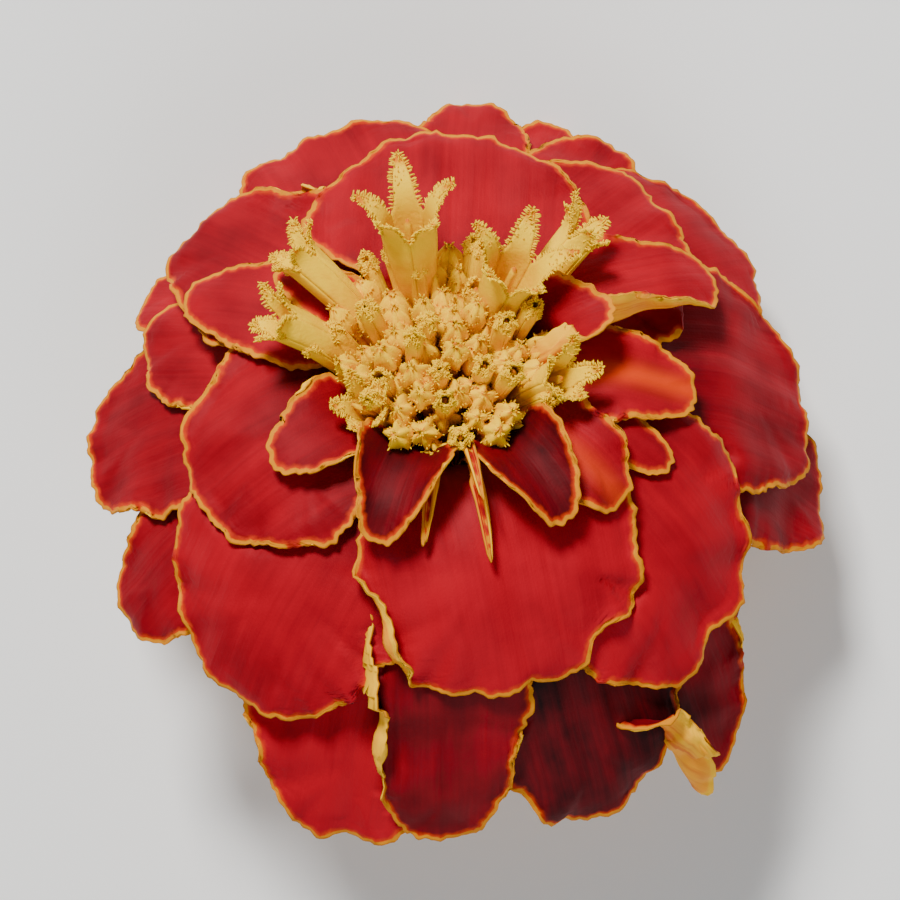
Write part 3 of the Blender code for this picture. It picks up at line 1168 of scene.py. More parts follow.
    @staticmethod
    def edge_distance(points: np.ndarray) -> tuple[np.ndarray, np.ndarray]:
        """Measure a grid from its two sides and its end.

        Args:
            points: grid of points.

        Returns:
            Distance of each point to the nearest rim point, and that rim point's place along the rim.
        """
        rim = np.concatenate([points[:-1, 0], points[-1], points[-2::-1, -1]])
        steps = np.linalg.norm(np.diff(rim, axis=0), axis=-1)
        place = np.concatenate([[0.0], np.cumsum(steps)])
        flat = points.reshape(-1, 3)
        gaps = np.linalg.norm(flat[:, None, :] - rim[None, :, :], axis=-1)
        shape = points.shape[:2]
        return gaps.min(1).reshape(shape), place[gaps.argmin(1)].reshape(shape)

    def surface_centre(self, petal: Petal) -> np.ndarray:
        """Find the centre of a plain blade's surface with its claw, weighted by area.

        Args:
            petal: the petal.

        Returns:
            The centre.
        """
        rows, columns = 9, 7
        along = by_row(np.linspace(0.0, 1.0, rows), columns)
        across = by_column(np.linspace(-1.0, 1.0, columns), rows)
        points, _ = self.blade(petal, along, across)
        foot = points[:1].copy()
        foot[..., 2] = self.style.claw_foot
        points = np.concatenate([foot, points])
        corners = [points[:-1, :-1], points[:-1, 1:], points[1:, 1:], points[1:, :-1]]
        area = np.linalg.norm(np.cross(corners[2] - corners[0], corners[3] - corners[1]), axis=-1) / 2.0
        centre = sum(corners) / 4.0
        return (centre * area[..., None]).sum((0, 1)) / area.sum()

    def fit_pose(self, nodes: dict[str, bpy.types.Object]) -> Matrix:
        """Find how the head lies by fitting the petals to the frame's nodes.

        Args:
            nodes: the frame's nodes by name.

        Returns:
            The matrix that takes millimetres of the upright head to metres of the lying one.
        """
        upright = np.array([self.surface_centre(petal) for petal in self.petals]) * MM
        lying = []
        for index in range(len(self.petals)):
            mesh = nodes[self.frame_node(index)].data
            count = len(mesh.polygons)
            centres, areas = np.zeros(count * 3), np.zeros(count)
            mesh.polygons.foreach_get("center", centres)
            mesh.polygons.foreach_get("area", areas)
            lying.append((centres.reshape(-1, 3) * areas[:, None]).sum(0) / areas.sum())
        lying = np.array(lying)
        first, second = upright.mean(0), lying.mean(0)
        left, _, right = np.linalg.svd((upright - first).T @ (lying - second))
        mirror = np.diag([1.0, 1.0, np.sign(np.linalg.det(right.T @ left.T))])
        turn = right.T @ mirror @ left.T
        miss = np.abs((upright - first) @ turn.T - (lying - second)).max()
        LOG.info("head pose fitted, largest miss %.3f mm", miss / MM)
        matrix = Matrix(turn.tolist()).to_4x4()
        matrix.translation = Vector(second - turn @ first)
        return matrix @ Matrix.Scale(MM, 4)

    def build(self, workshop: Workshop, finishes: list[bpy.types.Material]) -> None:
        """Make and place every petal.

        Args:
            workshop: places the pieces.
            finishes: the upper side and the underside.
        """
        leaves = [self.surface(index) for index in range(len(self.petals))]
        self.settle(leaves)
        for index, leaf in enumerate(leaves):
            workshop.place(f"petal_{index + 1:02d}", self.finish(index, leaf), finishes, Slot.PETAL,
                           (self.frame_node(index),))
        LOG.info("petals: %d", len(self.petals))


# --------------------------------------------------------------------------- disc florets


@dataclass(frozen=True)
class OpenFloret:
    """A tall disc floret whose five lobes have opened."""

    foot_azimuth: float
    head: tuple[float, float, float]
    tube: float
    bend: float
    throat: float = 1.2
    lobe: float = 2.5
    spread: float = 62.0
    phase: float = 10.0


@dataclass(frozen=True)
class DiscStyle:
    """Sizes that the disc florets share, in millimetres."""

    foot_z: float = -11.0
    open_foot: float = 2.3
    foot_tube: float = 0.28
    bud_foot: float = 1.55
    bud_bend: float = 2.5
    dome: float = 4.9
    dome_top: float = 11.8
    dome_drop: float = 2.0
    bud_tube: float = 0.85
    bud_fullness: float = 1.15
    bud_turn: float = 60.0
    bud_count: int = 13
    filler_count: int = 66
    filler_dome: float = 8.4
    filler_turn: float = 20.0
    filler_top: float = 12.7
    filler_drop: float = 2.9
    filler_foot: float = 0.3
    filler_bend: float = 2.6
    filler_tube: float = 0.7
    tube_steps: int = 30
    neck: float = 0.75
    throat_start: float = 0.62
    flute: float = 0.035
    lobe_steps: int = 14
    lobe_columns: int = 9
    skin: float = 0.2
    tip_skin: float = 0.12
    lobe_hair: float = 0.34
    hair_scatter: float = 0.05
    hair_rings: tuple[tuple[float, float], ...] = ((0.0, 0.065), (0.75, 0.05), (1.0, 0.02))
    pistil: float = 0.28
    pistil_depth: float = 1.2


@dataclass(frozen=True)
class BudShape:
    """A closed floret: places are shares of its length, sizes are shares of its tube."""

    steps: int = 34
    columns: int = 30
    stem: float = 0.55
    stem_span: float = 0.8
    knob: float = 0.945
    knob_span: float = 0.045
    swell: float = 0.52
    cap: float = 0.95
    cap_span: float = 0.052
    tip: float = 0.12
    rib: float = 0.20
    rib_fade: tuple[float, float] = (0.80, 0.15)
    dimple: float = 0.22
    dimple_fade: tuple[float, float] = (0.93, 0.05)
    lump_waves: int = 5
    lump_pitch: float = 5.5
    lump: float = 0.26
    lump_fade: tuple[float, float] = (0.86, 0.08)
    rust_fade: tuple[float, float] = (0.965, 0.03)
    hairs: int = 70
    hair: float = 0.24
    hair_start: float = 0.88


class DiscCrown:
    """The golden middle: tall open florets over a dome of closed buds."""

    def __init__(self, florets: tuple[OpenFloret, ...], style: DiscStyle, bud_shape: BudShape) -> None:
        """Keep the open florets and what all florets share."""
        self.florets = florets
        self.style = style
        self.bud_shape = bud_shape

    def path(self, foot: tuple[float, float], head: Spot, bend: float, steps: int) -> np.ndarray:
        """Draw a floret's middle line.

        Args:
            foot: where it stands, across the receptacle.
            head: its upper end.
            bend: 1 for a straight line; a larger one leans out late.
            steps: number of points.

        Returns:
            The points, from the foot up.
        """
        share = np.linspace(0.0, 1.0, steps)
        low, high = np.array([*foot, self.style.foot_z]), np.array(head)
        shares = np.stack([share ** bend, share ** bend, share], -1)
        return low + (high - low) * shares

    @staticmethod
    def frames(path: np.ndarray) -> tuple[np.ndarray, np.ndarray, np.ndarray]:
        """Find directions along and across a path.

        Args:
            path: its points.

        Returns:
            The tangent and two cross directions at each point, the first of them to the back.
        """
        tangent = unit(np.gradient(path, axis=0))
        back = np.array([0.0, 1.0, 0.0])
        first = unit(back - tangent * (tangent @ back)[:, None])
        return tangent, first, np.cross(tangent, first)

    def hairs(self, roots: np.ndarray, directions: np.ndarray, length: float, height: float,
              point: float, rng: np.random.Generator) -> Sheet:
        """Make short pointed hairs.

        Args:
            roots: where each hair stands.
            directions: unit direction of each hair.
            length: usual length.
            height: value of the height attribute for all of them, which sets their painted orange shade.
            point: value of the point attribute at their tips.
            rng: source of their differences.

        Returns:
            One sheet of four-sided spikes.
        """
        count, corners = len(roots), 4
        size = length * rng.uniform(0.55, 1.25, count)[:, None]
        first = unit(np.cross(directions, rng.normal(size=(count, 3))))
        second = np.cross(directions, first)
        loops = []
        for share, width in self.style.hair_rings:
            middle = roots + directions * size * share
            loops += [middle + way * width for way in (first, second, -first, -second)]
        points = np.stack(loops, 1).reshape(-1, 3)
        hair = capped_faces(len(self.style.hair_rings), corners)
        each = len(self.style.hair_rings) * corners
        faces = [tuple(corner + index * each for corner in face) for index in range(count) for face in hair]
        tips = np.tile(np.repeat([0.0, point * 0.5, point], corners), count)
        return Sheet(points, faces, values={"height": np.full(count * each, height), "point": tips})

    def lobe(self, floret: OpenFloret, number: int, path: np.ndarray, radius: np.ndarray,
             rng: np.random.Generator) -> tuple[Sheet, list[np.ndarray], list[np.ndarray]]:
        """Make one fifth of a floret's tube with its lobe.

        Args:
            floret: the floret.
            number: which lobe, counted round the tube.
            path: the tube's middle line.
            radius: the tube's radius along it.
            rng: source of the lobe's differences.

        Returns:
            The sheet, and the roots and directions of its hairs.
        """
        style = self.style
        steps, columns = style.lobe_steps, style.lobe_columns
        tangent, first, second = self.frames(path)
        up, side, cross = tangent[-1], first[-1], second[-1]
        start = math.radians(floret.phase)
        turn = start + number * math.tau / LOBES
        middle = turn + rng.uniform(-0.12, 0.12)
        theta = turn + np.linspace(-math.pi / LOBES, math.pi / LOBES, columns)
        share = np.linspace(0.0, 1.0, len(path))
        fluted = 1.0 - style.flute * np.cos(LOBES * (theta - start))[None, :] * share[:, None] ** 2
        tube = path[:, None, :] + rings(theta, first, second) * (radius[:, None] * fluted)[..., None]
        out = math.cos(middle) * side + math.sin(middle) * cross
        flank = np.cross(up, out)
        length = floret.lobe * rng.uniform(0.85, 1.15) * (0.80 + 0.20 * math.cos(middle))
        opening = math.radians(floret.spread * rng.uniform(0.85, 1.15) * (0.85 + 0.15 * math.cos(middle)))
        climbed = np.linspace(0.0, 1.0, steps + 1)[1:]
        forward, upward = (np.cumsum(part(opening * climbed)) * length / steps for part in (np.sin, np.cos))
        centre = tube[-1, columns // 2]
        offsets, inward = (tube[-1] - centre) @ flank, (tube[-1] - centre) @ out
        width = (0.66 + 0.34 * np.exp(-climbed / 0.10)) * (1.0 - 0.86 * climbed ** 2.6)
        width = width[:, None]
        trough = 0.175 * width ** 2 * (offsets / max(np.abs(offsets).max(), 1e-6)) ** 2
        rows = centre + out * (forward[:, None] + 0.6 * inward * width ** 2)[..., None]
        rows = rows + up * (upward[:, None] + trough)[..., None] + flank * (offsets * width)[..., None]
        # height: low values get the painted orange shade
        height = by_row(np.concatenate([0.15 + 0.75 * share, 0.9 + 0.1 * climbed]), columns)
        point = by_row(np.concatenate([np.zeros(len(path)), climbed ** 2]), columns)
        thick = np.full(height.shape, style.skin)
        thick[-3:] = style.tip_skin
        roots, directions = [], []
        for row in np.repeat(np.arange(steps), 3).tolist():
            for column, way in ((0, -1.0), (columns - 1, 1.0)):
                roots.append(rows[row, column])
                directions.append(flank * way + up * rng.uniform(0.1, 0.5) + rng.normal(size=3) * 0.16)
            if row > steps // 3:
                roots.append(rows[row, rng.integers(1, columns - 1)])
                directions.append(up + rng.normal(size=3) * 0.3)
        sheet = thicken(np.concatenate([tube, rows]), thick, {"height": height, "point": point})
        return sheet, roots, directions

    def open_floret(self, floret: OpenFloret, seed: int) -> Sheet:
        """Make an open floret: tube, throat, five pointed lobes, their hairs and the pistil.

        Args:
            floret: its place and sizes.
            seed: start of its random differences.

        Returns:
            The floret as one sheet.
        """
        style = self.style
        rng = np.random.default_rng(seed)
        angle = math.radians(floret.foot_azimuth)
        foot = (style.open_foot * math.cos(angle), style.open_foot * math.sin(angle))
        path = self.path(foot, floret.head, floret.bend, style.tube_steps)
        share = np.linspace(0.0, 1.0, style.tube_steps)
        neck = floret.tube * style.neck
        radius = style.foot_tube + (neck - style.foot_tube) * share ** 2
        radius = radius + (floret.throat - neck) * rise(share, style.throat_start, 1.0 - style.throat_start)
        sheets, roots, directions = [], [], []
        for number in range(LOBES):
            sheet, spots, ways = self.lobe(floret, number, path, radius, rng)
            sheets.append(sheet)
            roots += spots
            directions += ways
        scattered = np.array(roots) + rng.normal(size=(len(roots), 3)) * style.hair_scatter
        spikes = self.hairs(scattered, unit(np.array(directions)), style.lobe_hair, 0.95, 0.3, rng)
        up = self.frames(path)[0][-1]
        pistil_end = path[-1] + up * rng.uniform(0.4, 0.9)
        sheets.append(self.knob(path[-1] - up * style.pistil_depth, pistil_end, style.pistil, rng))
        return merge([*sheets, spikes])

    def knob(self, low: np.ndarray, high: np.ndarray, radius: float, rng: np.random.Generator) -> Sheet:
        """Make a small round-ended bar, such as the pistil in a throat.

        Args:
            low: its lower end.
            high: its upper end.
            radius: its radius.
            rng: source of its unevenness.

        Returns:
            The bar.
        """
        steps, columns = 10, 12
        share = np.linspace(0.0, 1.0, steps)
        path = low + (high - low) * share[:, None]
        _, first, second = self.frames(path)
        size = radius * np.sqrt(np.clip(1.0 - ((share - 0.35) / 0.66) ** 4, 0.02, 1.0))
        theta = np.linspace(0.0, math.tau, columns, endpoint=False)
        uneven = size[:, None] * (1.0 + 0.12 * rng.normal(size=columns))
        points = path[:, None, :] + rings(theta, first, second) * uneven[..., None]
        # height: low values get the painted orange shade
        height, point = (np.repeat(value, columns) for value in (0.75 + 0.25 * share, 0.9 * share ** 4))
        values = {"height": height, "point": point}
        return Sheet(points.reshape(-1, 3), capped_faces(steps, columns), values=values)

    def bud(self, foot: tuple[float, float], head: Spot, tube: float, bend: float, seed: int) -> Sheet:
        """Make a closed floret: a tube that swells to a five-ribbed knob with a rough top.

        Args:
            foot: where it stands, across the receptacle.
            head: its upper end.
            tube: the size of its tube.
            bend: how late it leans out.
            seed: start of its random differences.

        Returns:
            The bud with its hairs.
        """
        shape = self.bud_shape
        rng = np.random.default_rng(seed)
        path = self.path(foot, head, bend, shape.steps)
        tangent, first, second = self.frames(path)
        share = np.linspace(0.0, 1.0, shape.steps)
        slim = self.style.foot_tube
        stem = slim + (shape.stem * tube - slim) * ease(share / shape.stem_span)
        full = stem + np.exp(-((share - shape.knob) / shape.knob_span) ** 2) * tube * shape.swell
        cap = np.sqrt(np.clip(1.0 - ((share - shape.cap) / shape.cap_span) ** 2, 0.0, 1.0))
        radius = np.where(share > shape.cap, full * np.maximum(cap, shape.tip), full)
        theta = np.linspace(0.0, math.tau, shape.columns, endpoint=False)
        wave = np.cos(LOBES * (theta - rng.uniform(0.0, math.tau)))[None, :]
        ribs = 1.0 + shape.rib * wave * rise(share, *shape.rib_fade)[:, None]
        ring = rings(theta, first, second)
        points = path[:, None, :] + ring * (radius[:, None] * ribs)[..., None]
        dimple = wave * shape.dimple * tube * rise(share, *shape.dimple_fade)[:, None]
        points = points + tangent[:, None, :] * dimple[..., None]
        lumps = sum(np.sin(points @ (rng.normal(size=3) * shape.lump_pitch) + rng.uniform(0.0, 6.0))
                    for _ in range(shape.lump_waves)) / shape.lump_waves
        lumps = lumps * shape.lump * tube * rise(share, *shape.lump_fade)[:, None]
        points = points + ring * lumps[..., None]
        # height: low values get the painted orange shade
        height = np.repeat(0.1 + 0.9 * share ** 3, shape.columns)
        rust = (wave * 0.35 + 0.55) * rise(share, *shape.rust_fade)[:, None]
        body = Sheet(points.reshape(-1, 3), capped_faces(shape.steps, shape.columns),
                     values={"height": height, "point": rust.reshape(-1)})
        rows = rng.integers(int(shape.steps * shape.hair_start), shape.steps, shape.hairs)
        columns = rng.integers(0, shape.columns, shape.hairs)
        outward = ring[rows, columns] * rng.uniform(0.4, 1.0, shape.hairs)[:, None] + tangent[-1] * 0.7
        hairs = self.hairs(points[rows, columns], unit(outward), shape.hair, 1.0, 0.12, rng)
        return merge([body, hairs])

    def place_buds(self, workshop: Workshop, finish: bpy.types.Material) -> None:
        """Place the closed florets that stand for frame nodes, in a sunflower's spiral.

        Args:
            workshop: places the pieces.
            finish: the florets' material.
        """
        style = self.style
        for index in range(style.bud_count):
            share = (index + 0.5) / style.bud_count
            turn = math.radians(style.bud_turn + index * GOLDEN_ANGLE)
            foot, spread = style.bud_foot * math.sqrt(share), style.dome * math.sqrt(share)
            top = style.dome_top - style.dome_drop * share
            head = (spread * math.cos(turn), spread * math.sin(turn), top)
            bud = self.bud((foot * math.cos(turn), foot * math.sin(turn)), head,
                           style.bud_tube * style.bud_fullness, style.bud_bend, 400 + index)
            node = f"disc_floret_{len(self.florets) + index + 1:02d}"
            workshop.place(f"bud_{index + 1:02d}", bud, [finish], Slot.FLORET, (node,))

    def place_fillers(self, workshop: Workshop, finish: bpy.types.Material) -> None:
        """Fill the dome with small buds, every third of them just opening.

        Args:
            workshop: places the pieces.
            finish: the florets' material.
        """
        style = self.style
        rng = np.random.default_rng(77)
        for index in range(style.filler_count):
            share = (index + 0.5) / style.filler_count
            turn = math.radians(style.filler_turn + index * GOLDEN_ANGLE)
            spread = style.filler_dome * math.sqrt(share) * rng.uniform(0.93, 1.07)
            top = style.filler_top - style.filler_drop * share + rng.uniform(-1.0, 0.8)
            head = (spread * math.cos(turn), spread * math.sin(turn), top)
            foot = style.filler_foot * spread
            if index % 3 == 1:
                small = OpenFloret(math.degrees(turn), head, style.filler_tube, style.filler_bend,
                                   throat=rng.uniform(0.5, 0.65), lobe=rng.uniform(0.9, 1.5),
                                   spread=rng.uniform(-55.0, -15.0), phase=rng.uniform(0.0, 72.0))
                name, sheet = f"small_floret_{index + 1:02d}", self.open_floret(small, 600 + index)
            else:
                tube = style.bud_tube * rng.uniform(0.75, 1.15)
                name = f"small_bud_{index + 1:02d}"
                stand = (foot * math.cos(turn), foot * math.sin(turn))
                sheet = self.bud(stand, head, tube, style.filler_bend, 500 + index)
            workshop.place(name, sheet, [finish], Slot.FLORET)

    def build(self, workshop: Workshop, finish: bpy.types.Material) -> None:
        """Make and place every disc floret.

        Args:
            workshop: places the pieces.
            finish: the florets' material.
        """
        for index, floret in enumerate(self.florets):
            workshop.place(f"open_floret_{index + 1:02d}", self.open_floret(floret, 300 + index), [finish],
                           Slot.FLORET, (f"disc_floret_{index + 1:02d}",))
        self.place_buds(workshop, finish)
        self.place_fillers(workshop, finish)
        LOG.info("disc florets: %d", len(self.florets) + self.style.bud_count + self.style.filler_count)


# --------------------------------------------------------------------------- green parts


@dataclass
class Cup:
    """The involucre: fused bracts whose tips stand up as teeth."""

    teeth: int = 8
    tooth: float = 1.7
    wall: float = 0.55
    profile: tuple[tuple[float, float], ...] = (
        (2.6, -15.2), (4.2, -14.7), (5.5, -13.8), (6.3, -12.4),
        (6.75, -10.4), (6.95, -8.0), (7.0, -5.0), (7.0, -2.4))
    skin_length: float = 15.0
    seam: float = 0.20
    seam_width: float = 0.07
    seam_pale: float = 0.5
    keel: float = 0.16
    keel_width: float = 0.10
    lean: float = 0.25
    columns: int = 240
    rows: int = 70

    def shape(self) -> Sheet:
        """Turn the wall, rib it between the bracts and draw its rim up into teeth.

        Returns:
            The closed wall.
        """
        share = np.linspace(0.0, 1.0, self.rows)
        spots = np.linspace(0.0, 1.0, len(self.profile))
        radius, height = (np.interp(share, spots, values) for values in np.array(self.profile).T)
        radius = rounded(radius, 9)
        theta = np.linspace(0.0, math.tau, self.columns + 1)
        phase = (theta / math.tau * self.teeth) % 1.0
        peak = np.abs(2.0 * phase - 1.0)[None, :]
        seam = np.exp(-((phase - 0.5) / self.seam_width) ** 2)
        keel = np.exp(-(np.minimum(phase, 1.0 - phase) / self.keel_width) ** 2)
        relief = (self.keel * keel - self.seam * seam)[None, :] * ease(share / 0.25)[:, None]
        ring = radius[:, None] + relief + self.lean * rise(share, 0.85, 0.15)[:, None] * peak
        z = height[:, None] + self.tooth * peak ** 1.4 * rise(share, 0.80, 0.20)[:, None]
        points = np.stack([ring * np.cos(theta), ring * np.sin(theta), z], -1)
        values = {
            "along": by_row(share * self.skin_length, self.columns + 1),
            "across": by_column(theta / math.tau * self.teeth, self.rows),
            "pale": self.seam_pale * seam[None, :] * rise(share, 0.1, 0.3)[:, None],
        }
        return thicken(points, np.full(z.shape, self.wall), values)

    def build(self, workshop: Workshop, finish: bpy.types.Material) -> None:
        """Make and place the cup."""
        workshop.place("cup_of_bracts", self.shape(), [finish, finish], Slot.BRACT, ("involucre",))
        LOG.info("cup of bracts placed")


@dataclass
class Stalk:
    """The cut stalk, which swells into the receptacle."""

    end_z: float = -21.5
    top_z: float = -11.3
    bend: float = 0.6
    profile: tuple[tuple[float, float], ...] = (
        (0.00, 5.0), (0.08, 4.6), (0.22, 2.8), (0.30, 2.7),
        (0.42, 2.4), (0.60, 2.0), (0.80, 1.7), (1.00, 1.6))
    cut: tuple[Spot, ...] = (
        (0.93, 0.0, 0.5), (0.80, 0.05, 0.75), (0.62, 0.02, 0.85), (0.42, 0.12, 1.0), (0.22, 0.20, 1.0),
        (0.05, 0.22, 1.0))
    ribs: int = 11
    rib: float = 0.045
    columns: int = 132
    rows: int = 90

    def shape(self) -> Sheet:
        """Loft the ribbed stalk and close its cut end with rings of pith.

        A ring of the cut is its share of the radius, how far it is sunk, and how pale it is.

        Returns:
            The closed stalk.
        """
        length = self.top_z - self.end_z
        share = np.linspace(0.0, 1.0, self.rows)
        radius = rounded(np.interp(share, *np.array(self.profile).T), 7)
        theta = np.linspace(0.0, math.tau, self.columns, endpoint=False)
        rib = self.rib * np.cos(self.ribs * theta)[None, :] * rise(share, 0.15, 0.2)[:, None]
        ring = radius[:, None] * (1.0 + rib)
        x = ring * np.cos(theta)[None, :] + self.bend * share[:, None] ** 2
        z = by_row(self.top_z - length * share, self.columns)
        side = np.stack([x, ring * np.sin(theta)[None, :], z], -1)
        inset, sunk, paleness = np.array(self.cut).T
        middle = np.array([self.bend, 0.0, self.end_z])
        cap = middle + (side[-1] - middle)[None] * inset[:, None, None]
        cap[..., 2] += sunk[:, None]
        points = np.concatenate([side, cap])
        faces = [tuple(reversed(face)) for face in capped_faces(len(points), self.columns)]
        along = np.concatenate([share * length, np.full(len(inset), length)])
        pale = np.concatenate([np.zeros(self.rows), paleness])
        values = {
            "along": by_row(along, self.columns).reshape(-1),
            "across": by_column(theta / math.tau * self.ribs, len(points)).reshape(-1),
            "pale": by_row(pale, self.columns).reshape(-1),
        }
        return Sheet(points.reshape(-1, 3), faces, values=values)

    def build(self, workshop: Workshop, finish: bpy.types.Material) -> None:
        """Make and place the stalk."""
        workshop.place("cut_stalk", self.shape(), [finish], Slot.STALK, ("stalk",))
        LOG.info("stalk placed")


# --------------------------------------------------------------------------- studio


@dataclass(frozen=True)
class Lamp:
    """A square soft light aimed at the head: its place and size in metres, its power in watts."""

    name: str
    place: Spot
    size: float
    power: float
    colour: Spot

    def hang(self) -> None:
        """Put the light in the scene."""
        data = bpy.data.lights.new(self.name, "AREA")
        data.size = self.size
        data.energy = self.power
        data.color = self.colour
        lamp = bpy.data.objects.new(self.name, data)
        bpy.context.scene.collection.objects.link(lamp)
        lamp.location = self.place
        lamp.rotation_euler = (-Vector(self.place)).to_track_quat("-Z", "Y").to_euler()


@dataclass
class Studio:
    """Pale floor, soft lights and the camera that looks down on the head."""

    distance: float = 300.0
    elevation: float = 60.0
    aim: tuple[float, float] = (0.34, -1.70)
    lens: float = 176.4
    sensor: float = 36.0
    floor_size: float = 4.0
    floor_colour: Colour = (0.90, 0.90, 0.89, 1.0)
    floor_roughness: float = 0.85
    lamps: tuple[Lamp, ...] = (
        Lamp("key", (-0.13, 0.46, 0.52), 0.15, 8.0, (1.0, 0.985, 0.96)),
        Lamp("fill", (0.15, -0.50, 0.48), 0.50, 2.6, (0.95, 0.98, 1.0)))
    surround: Colour = (0.93, 0.96, 1.0, 1.0)
    surround_strength: float = 0.15

    def floor(self) -> None:
        """Lay a large matte floor at the height that the head rests on."""
        mesh = bpy.data.meshes.new("floor")
        bm = bmesh.new()
        bmesh.ops.create_grid(bm, x_segments=1, y_segments=1, size=self.floor_size / 2.0)
        bm.to_mesh(mesh)
        bm.free()
        material, _, shader = start_material("floor")
        shader.inputs["Base Color"].default_value = self.floor_colour
        shader.inputs["Roughness"].default_value = self.floor_roughness
        mesh.materials.append(material)
        floor = bpy.data.objects.new("floor", mesh)
        bpy.context.scene.collection.objects.link(floor)

    def camera(self, pose: Matrix) -> None:
        """Place the camera by the head's own frame, in front of it and above its face.

        Args:
            pose: takes millimetres of the upright head to metres of the lying one.
        """
        angle = math.radians(self.elevation)
        toward = Vector((0.0, -math.cos(angle), math.sin(angle)))
        up = Vector((0.0, math.sin(angle), math.cos(angle)))
        right = up.cross(toward)
        target = right * self.aim[0] + up * self.aim[1]
        turn = pose.to_3x3().normalized()
        axes = Matrix((turn @ right, turn @ up, turn @ toward)).transposed()
        data = bpy.data.cameras.new("camera")
        data.lens = self.lens
        data.sensor_width = self.sensor
        data.clip_start = 0.01
        camera = bpy.data.objects.new("camera", data)
        bpy.context.scene.collection.objects.link(camera)
        camera.matrix_world = Matrix.Translation(pose @ (target + toward * self.distance)) @ axes.to_4x4()
        bpy.context.scene.camera = camera

    def lights(self) -> None:
        """Hang the lamps and set the pale surround."""
        for lamp in self.lamps:
            lamp.hang()
        world = bpy.data.worlds.new("surround")
        world.use_nodes = True
        backdrop = world.node_tree.nodes["Background"]
        backdrop.inputs["Color"].default_value = self.surround
        backdrop.inputs["Strength"].default_value = self.surround_strength
        bpy.context.scene.world = world

    def build(self, pose: Matrix) -> None:
        """Set up the floor, the lights and the camera."""
        self.floor()
        self.lights()
        self.camera(pose)


# --------------------------------------------------------------------------- the head's pieces

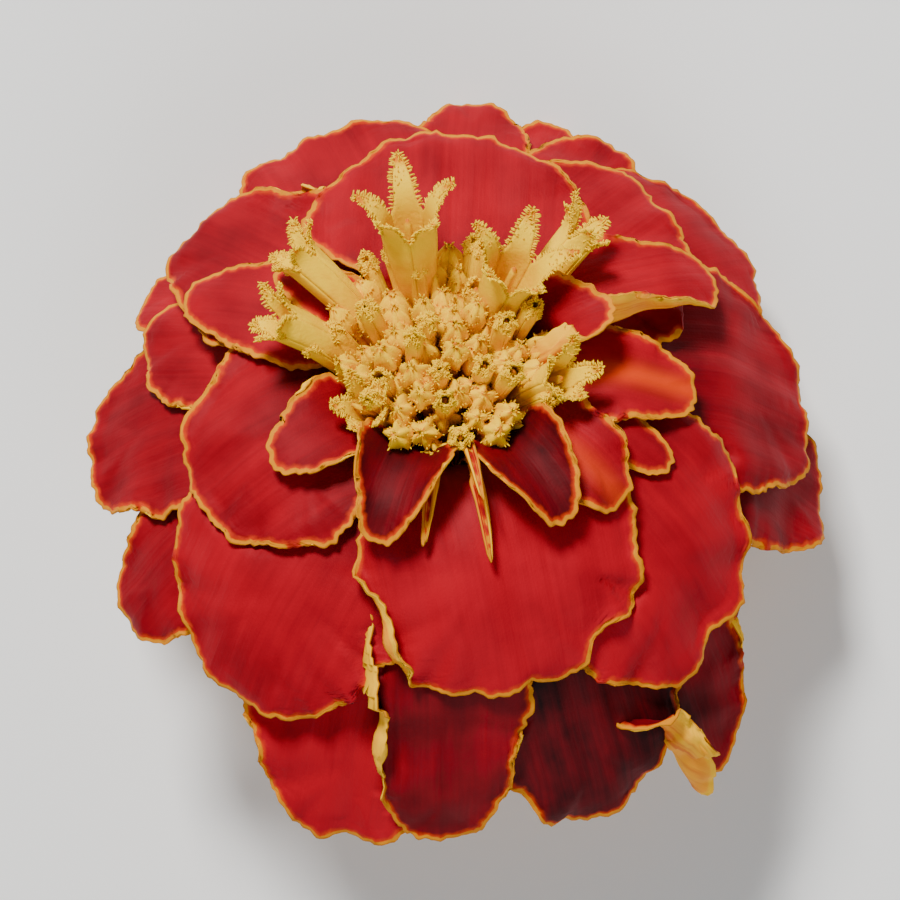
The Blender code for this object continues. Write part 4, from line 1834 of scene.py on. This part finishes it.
PETALS = (
    # back
    Petal(85.5, 0.50, 27.6, 10.0, depth=0.18),
    Petal(73.5, 0.00, 27.4, 8.0, depth=0.18),
    Petal(63.0, 1.00, 26.0, 11.0, depth=0.28),
    Petal(40.0, 1.50, 25.8, 19.0, depth=0.22),
    Petal(112.0, 1.70, 24.2, 20.0, depth=0.30),
    Petal(88.0, 3.20, 19.8, 20.0, depth=0.22, root_maroon_and_shade=0.5, longer=-0.5),
    Petal(51.0, 2.50, 20.9, 16.0, depth=0.28, shift=-2.5, wider=1.8, longer=0.9, corner=-0.08),
    # right
    Petal(25.0, 3.95, 20.0, 8.0, depth=0.15, wider=1.0,
          folds=(Fold((0.25, -0.62), (1.0, -0.40), 105.0, 0.5),)),
    Petal(10.5, 1.92, 25.2, 16.0, square=0.18, depth=0.42, root_maroon_and_shade=0.6),
    Petal(-2.0, 0.60, 26.3, 13.0, depth=0.42),
    Petal(-34.0, 2.45, 22.3, 18.2, depth=0.05, root_maroon_and_shade=0.95, shift=-3.5, longer=0.4),
    Petal(-37.0, 0.00, 25.6, 15.0, droop=1.5, depth=0.60, corner=0.15, skew=-6.0, wider=-1.5, longer=0.6,
          folds=(Fold((0.76, -0.58), (1.0, -0.28), 155.0, 0.6),)),
    # front
    Petal(-76.0, 3.10, 19.9, 19.0, notch=(0.72, 1.2), square=0.22, depth=0.0, root_maroon_and_shade=0.75, shift=1.5,
          folds=(Fold((0.62, -0.93), (0.92, -0.78), 135.0, 0.35),)),
    Petal(-63.0, 0.95, 24.9, 15.0, droop=0.8, depth=0.85),
    Petal(-90.5, 1.75, 24.2, 11.6, depth=0.60, longer=0.6,
          folds=(Fold((0.45, -0.86), (0.98, -0.62), 140.0, 0.4),)),
    Petal(-108.0, 0.25, 25.0, 15.0, droop=0.6, depth=0.0),
    Petal(-130.0, 2.45, 22.4, 17.6, depth=0.16, root_maroon_and_shade=0.55),
    # left
    Petal(-159.0, 3.00, 18.0, 16.0, depth=0.34, shift=2.0, root_maroon_and_shade=0.65),
    Petal(177.0, 0.65, 24.6, 14.0, depth=0.42),
    Petal(-155.0, 0.05, 24.0, 11.0, depth=0.40),
    Petal(161.0, 1.25, 21.6, 12.0, depth=0.32),
    Petal(141.5, 2.30, 22.6, 14.0, depth=0.30, cup=0.9),
    Petal(149.5, 0.30, 24.3, 9.0, depth=0.20),
    Petal(158.0, 3.40, 18.7, 8.0, depth=0.30),
    # small ones round the centre
    Petal(149.0, 4.20, 13.2, 5.0, depth=0.25),
    Petal(-151.0, 3.90, 12.6, 7.0, depth=0.38, shift=5.0, longer=1.0, tip_lift=0.6, cup=0.5),
    Petal(-108.0, 4.30, 12.0, 5.0, cup=1.6, depth=0.75, wider=1.4, longer=2.2, tip_lift=0.9, root_maroon_and_shade=0.9),
    Petal(-56.0, 4.20, 12.6, 5.0, cup=1.6, depth=0.70, wider=1.2, longer=1.7, tip_lift=0.9, root_maroon_and_shade=0.9),
    Petal(-34.0, 3.75, 14.0, 8.0, depth=0.35, ruffle=0.75, lobing=0.7, longer=1.0, shift=-5.0, stripe=0.5),
    Petal(2.0, 3.35, 16.8, 7.0, depth=0.20, stripe=0.9, shift=-4.0, wider=0.6),
    Petal(10.0, 4.60, 11.2, 5.2, cup=1.6, depth=0.35, wider=1.6, tip_lift=2.6,
          folds=(Fold((0.25, -0.15), (1.0, -0.70), 95.0, 0.5),)),
    Petal(-21.0, 2.90, 16.2, 4.8, depth=0.35),
    # narrow ribbons at the front
    Petal(-91.0, 3.65, 13.5, 1.4, depth=0.4, wider=-0.75, skew=-5.0, tip_lift=0.8, ruffle=1.5),
    Petal(-82.0, 5.00, 12.0, 1.2, depth=0.4, wider=-0.6, skew=4.0, tip_lift=1.2, ruffle=1.5),
    Petal(-74.0, 3.65, 14.5, 1.4, depth=0.4, wider=-0.75, skew=-4.0, tip_lift=0.8, ruffle=1.5),
    # lowest ones under the back
    Petal(119.0, -0.40, 25.2, 13.0, droop=4.5),
    Petal(36.0, -0.40, 25.0, 12.0, droop=4.0),
)

OPEN_FLORETS = (
    OpenFloret(111.0, (-2.4, 6.3, 15.0), 1.2, 2.0, throat=1.75, lobe=4.1, spread=88.0, phase=6.0),
    OpenFloret(68.0, (4.4, 3.5, 13.5), 1.2, 2.0, throat=1.8, lobe=3.9, spread=82.0, phase=-12.0),
    OpenFloret(151.5, (-9.2, 5.2, 12.4), 0.9, 4.3),
    OpenFloret(174.0, (-10.4, 0.8, 11.8), 0.9, 3.8),
    OpenFloret(30.0, (8.6, 7.0, 12.2), 0.9, 4.2),
    OpenFloret(-21.0, (7.4, -2.9, 10.8), 0.9, 3.0),
    OpenFloret(-137.4, (-5.0, -4.6, 10.0), 0.9, 2.6),
)


def main() -> None:
    """Build the head's looks round the frame, and the studio round the head."""
    logging.basicConfig(level=logging.INFO, format="%(name)s: %(message)s")
    for obj in list(bpy.data.objects):
        bpy.data.objects.remove(obj, do_unlink=True)
    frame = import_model()
    ring = PetalRing(PETALS, PetalStyle(), RimStyle(), Press())
    pose = ring.fit_pose(frame["nodes"])
    workshop = Workshop(pose)
    rim, veins = build_rim_group(), build_vein_group()
    ring.build(workshop, [PetalFinish().build(rim, veins), UndersideFinish().build(rim, veins)])
    DiscCrown(OPEN_FLORETS, DiscStyle(), BudShape()).build(workshop, FloretFinish().build())
    Cup().build(workshop, GreenFinish("bract", (0.17, 0.30, 0.05, 1.0), (0.06, 0.14, 0.02, 1.0), 0.8).build())
    Stalk().build(workshop, GreenFinish("stalk", (0.20, 0.33, 0.07, 1.0), (0.10, 0.17, 0.035, 1.0)).build())
    Studio().build(pose)


if __name__ == "__main__":
    main()
